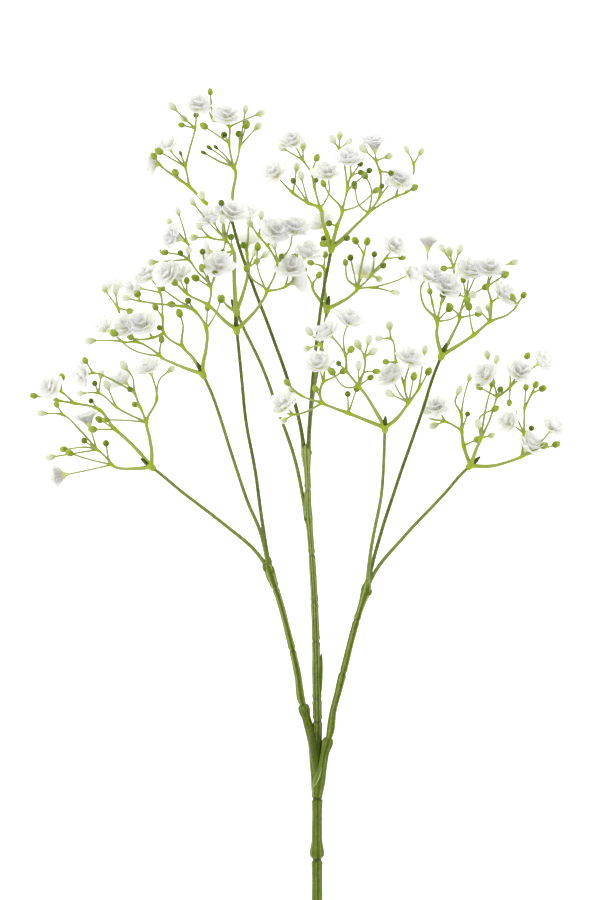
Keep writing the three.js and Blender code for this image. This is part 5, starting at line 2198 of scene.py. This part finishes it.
SPRAYS = {
    "spray_left_low": LEFT_LOW,
    "spray_left_middle": LEFT_MIDDLE,
    "spray_left_high": LEFT_HIGH,
    "spray_back_left": BACK_LEFT,
    "spray_top_left": TOP_LEFT,
    "spray_top": TOP,
    "spray_back": BACK,
    "spray_right_high": RIGHT_HIGH,
    "spray_right_middle": RIGHT_MIDDLE,
    "spray_right_low": RIGHT_LOW,
}

MAIN_SHAFT = Shaft(
    stations=(
        (5.7, -200, 2.05), (5.7, -193, 2.15), (5.7, -191.4, 2.7), (5.7, -190, 3.05), (5.7, -188.4, 2.75),
        (5.7, -186.6, 2.15), (5.7, -180, 2.1), (5.7, -150, 2.1), (5.7, -120, 2.1), (5.7, -111.4, 2.1),
        (5.7, -109.4, 2.1), (5.7, -108.4, 2.75), (5.7, -107, 3.0), (5.7, -105, 2.65), (5.7, -103, 2.25),
        (5.7, -98, 2.1), (5.7, -86.6, 2.1), (5.7, -83.6, 2.1), (5.7, -66, 1.9), (5.9, -54, 1.8),
        (5.7, -45, 1.75), (5.2, -22, 1.55), (4.7, -6, 1.45), (3.5, 13, 1.35), (2.7, 23.5, 1.35),
        (2.3, 28, 1.75), (2.1, 31.5, 1.5), (1.95, 39.5, 1.35), (1.6, 48, 1.4), (1.4, 51.5, 1.9),
        (1.3, 53.8, 2.1), (1.3, 57, 1.5),
    ),
    grooves=(
        (-167.6, 0.9), (-144.6, 0.9), (-110, 1), (-85.2, 1), (-54, 0.8), (-45, 0.4), (-22, 0.5), (-6, 0.5),
        (13, 0.5), (39, 0.5),
    ),
    # painted shade in the crevice behind the fork of the two sockets
    painted_shade=(-69, 9),
    paleness=(-0.25, 0.6),
    seed=3,
)
LEFT_SOCKET = Shaft(
    stations=(
        (5.3, -82, 1.9), (4.8, -71, 2.1), (3.9, -62.5, 2.0), (2, -55, 1.8), (1.2, -52.2, 1.85),
        (0.7, -50.4, 2.25), (0.3, -48.8, 2.3), (0, -47.6, 1.85),
    ),
    heights=(11.4, 13.2),
    seed=5,
)
RIGHT_SOCKET = Shaft(
    stations=(
        (5.9, -84.4, 1.9), (6.6, -78, 2.5), (7.9, -71.5, 1.9), (9, -66, 1.8), (9.6, -63.8, 2.2),
        (10, -62.3, 2.3), (10.4, -61, 1.85),
    ),
    heights=(12.6, 15.2),
    seed=7,
)
LEFT_SHAFT = Shaft(
    stations=(
        (0.1, -48.4, 1.18), (0, -47.4, 1.22), (-0.4, -46.2, 1.42), (-2, -36, 1.4),
        (-4.2, -25.5, 1.35), (-6, -18, 1.3), (-9.5, -5, 1.3), (-11.2, 0, 1.45), (-13.1, 5.5, 2.05),
        (-14.1, 9.5, 1.6),
    ),
    heights=(13.3, 24),
    grooves=((-25.5, 0.5), (-0.6, 0.4)),
    paleness=(0.1, 0.3),
    seed=11,
    flutes=5,
    flute_depth=0.07,
)
RIGHT_SHAFT = Shaft(
    stations=(
        (10.2, -61.8, 1.18), (10.4, -60.8, 1.22), (10.8, -59.4, 1.42), (12.2, -50, 1.4),
        (14.2, -42, 1.4), (15.5, -36.5, 1.6), (16.2, -34, 1.45), (19, -23, 1.4), (21.7, -13, 1.35),
        (24, -5.5, 1.5), (25.3, -1.5, 2.05), (26, 2, 1.5),
    ),
    heights=(15.3, 24),
    grooves=((-34.6, 0.5), (-13, 0.5)),
    paleness=(0.1, 0.3),
    seed=13,
    flutes=5,
    flute_depth=0.07,
)
STEM_PARTS = (
    StemPart(
        node="main_stem",
        slot="stem",
        shafts=(MAIN_SHAFT, LEFT_SOCKET, RIGHT_SOCKET),
        lumps=(
            Lump((0.4, 53), 0.3, 1.2, 4.2, 100),
            Lump((2.5, 54), 0.2, 1.15, 3.6, 85),
            Lump((1.4, 27.5), 0.4, 1.05, 4.6, 105),
            Lump((7.1, -36), 0.2, 0.9, 19, 88),
            Lump((4.5, -66), 0.7, 1.9, 26, 98, 0.3),
            Lump((0.9, -49), 0.5, 1.5, 3.2, 120),
            Lump((10.6, -62.6), 0.4, 1.4, 3.4, 60),
        ),
        stalks={
            "spray_top_left": ((0.4, 54), (-0.5, 62), (-3.3, 74), (-12, 100), (-20, 121), (-26, 138)),
            "spray_back_left": ((1.4, 27), (0, 36), (-4, 54), (-9.5, 69.5), (-17, 90), (-24, 104.5)),
            "spray_top": ((2, 54), (3, 72), (4.5, 90), (8, 118)),
            "spray_back": ((2.2, 54), (3.6, 74), (6.6, 92), (8.8, 106)),
        },
        deep=("spray_top_left", "spray_top"),
        crests=((
            (7.5, -72.4, 15.9), (7.1, -74.7, 16.1), (6.4, -77, 16.0), (5.4, -79, 15.6),
            (4.3, -80.5, 14.5),
        ),),
        sockets=(LEFT_SOCKET, RIGHT_SOCKET),
    ),
    StemPart(
        node="left_branch",
        slot="branch",
        shafts=(LEFT_SHAFT,),
        lumps=(
            Lump((-15.0, 8), 0.1, 1.35, 4.4, 105),
            Lump((-12.4, 6.8), 0.2, 1.15, 4.6, 100),
            Lump((-13.6, 10.4), 0.3, 1.2, 4.6, 98),
        ),
        stalks={
            "spray_left_low": ((-14, 7.5), (-19, 14.5), (-30, 24), (-50, 39.5), (-56, 44.5)),
            "spray_left_middle": ((-13.8, 7.5), (-17, 22), (-22, 34), (-29, 55), (-37, 79)),
            "spray_left_high": ((-13.4, 7.5), (-16, 24), (-20, 52), (-22, 62), (-25, 90)),
        },
        deep=("spray_left_high",),
        collar=24,
        plug_in=LEFT_SOCKET,
    ),
    StemPart(
        node="right_branch",
        slot="branch",
        shafts=(RIGHT_SHAFT,),
        lumps=(
            Lump((26.5, -2), 0.1, 1.25, 3.4, 60),
            Lump((24.4, -0.4), 0.2, 1.1, 4.4, 75),
            Lump((25.8, 2), 0.3, 1.15, 4.4, 80),
        ),
        stalks={
            "spray_right_high": ((25.6, 0), (29, 14), (38, 43), (48, 72), (52.5, 86)),
            "spray_right_middle": ((25.6, 0), (27, 14), (31.5, 40), (32.2, 54)),
            "spray_right_low": ((25.7, 0), (28.5, 5.5), (42, 22), (58, 39), (64, 46)),
        },
        deep=("spray_right_high",),
        collar=24,
        plug_in=RIGHT_SOCKET,
    ),
)


# -------------------- Studio --------------------


@dataclass(frozen=True)
class Lamp:
    """A distant soft light.

    Args:
        name: its name.
        side: the compass direction that it comes from, in degrees from +X.
        height: its height above the horizon, in degrees.
        strength: its strength.
        spread: its angle, in degrees.
    """

    name: str
    side: float
    height: float
    strength: float
    spread: float

    def light(self) -> None:
        """Hangs the lamp."""
        data = bpy.data.lights.new(self.name, "SUN")
        data.energy = self.strength
        data.angle = math.radians(self.spread)
        side, height = math.radians(self.side), math.radians(self.height)
        level = math.cos(height)
        towards = Vector((math.cos(side) * level, math.sin(side) * level, math.sin(height)))
        lamp = bpy.data.objects.new(self.name, data)
        lamp.rotation_mode = "QUATERNION"
        lamp.rotation_quaternion = towards.to_track_quat("Z", "Y")
        bpy.context.scene.collection.objects.link(lamp)


@dataclass(frozen=True)
class Studio:
    """A pale floor, soft white light all round and a camera that looks straight down.

    Args:
        middle: the point that the camera looks at, in millimetres.
        tall: how much it takes in from bottom to top, in millimetres, at that height.
        lens: its focal length.
        sensor: its sensor's long side.
        sky: the strength of the light all round.
        lamps: the lamps.
        floor_size: the floor's side, in metres.
        floor_drop: how far it lies below the surface, in metres.
        camera_reach: how far the camera sees, in metres.
    """

    middle: Place = (-1.4, 55.2, 35.0)
    tall: float = 360.0
    lens: float = 300.0
    sensor: float = 36.0
    sky: float = 0.64
    lamps: Sequence[Lamp] = (
        Lamp("key_lamp", 140, 60, 0.5, 50),
        Lamp("left_lamp", 172, 14, 0.8, 40),
        Lamp("right_lamp", -10, 18, 0.5, 40),
    )
    floor_size: float = 3.0
    floor_drop: float = 0.0001
    camera_reach: float = 20.0

    def floor(self, finish: bpy.types.Material) -> bpy.types.Object:
        """Lays the floor.

        Args:
            finish: its finish.

        Returns:
            The floor.
        """
        half = self.floor_size / 2
        mesh = bpy.data.meshes.new("floor")
        corners = [(-half, -half), (half, -half), (half, half), (-half, half)]
        mesh.from_pydata([(x, y, -self.floor_drop) for x, y in corners], [], [(0, 1, 2, 3)])
        mesh.materials.append(finish)
        floor = bpy.data.objects.new("floor", mesh)
        bpy.context.scene.collection.objects.link(floor)
        return floor

    def camera(self) -> bpy.types.Object:
        """Hangs the camera.

        Returns:
            The camera.
        """
        data = bpy.data.cameras.new("camera")
        data.lens, data.sensor_width = self.lens, self.sensor
        data.clip_end = self.camera_reach
        camera = bpy.data.objects.new("camera", data)
        x, y, z = self.middle
        away = self.tall * self.lens / self.sensor
        camera.location = Vector((x, y, z + away)) * MM
        bpy.context.scene.collection.objects.link(camera)
        bpy.context.scene.camera = camera
        return camera

    def build(self) -> None:
        """Sets up the floor, the lights and the camera."""
        self.floor(PaleFloor().material("pale_floor"))
        self.camera()
        for lamp in self.lamps:
            lamp.light()
        world = bpy.data.worlds.new("studio")
        world.use_nodes = True
        background = world.node_tree.nodes["Background"]
        background.inputs["Color"].default_value = (1, 1, 1, 1)
        background.inputs["Strength"].default_value = self.sky
        bpy.context.scene.world = world
        bpy.context.scene.view_settings.view_transform = "Standard"


def main() -> None:
    """Builds the stem and its sprays in order, then the studio."""
    logging.basicConfig(level=logging.INFO, format="%(message)s")
    finishes = {
        "stem": StemPlastic().material("stem_plastic"),
        "branch": StemPlastic(body=paint(120, 140, 6)).material("branch_plastic"),
    }
    spray_plastic = SprayPlastic().material("spray_plastic")
    skins = [BUD_SKINS[skin].material(f"{skin.name.lower()}_bud") for skin in Skin]
    cloth = PetalCloth().material("petal_cloth")
    for part in STEM_PARTS:
        part.build(finishes[part.slot])
        for name in part.stalks:
            _, along = part.stalk(name).line()
            Spray(name, SPRAYS[name], along).build(spray_plastic, skins, cloth)
    Studio().build()


if __name__ == "__main__":
    main()
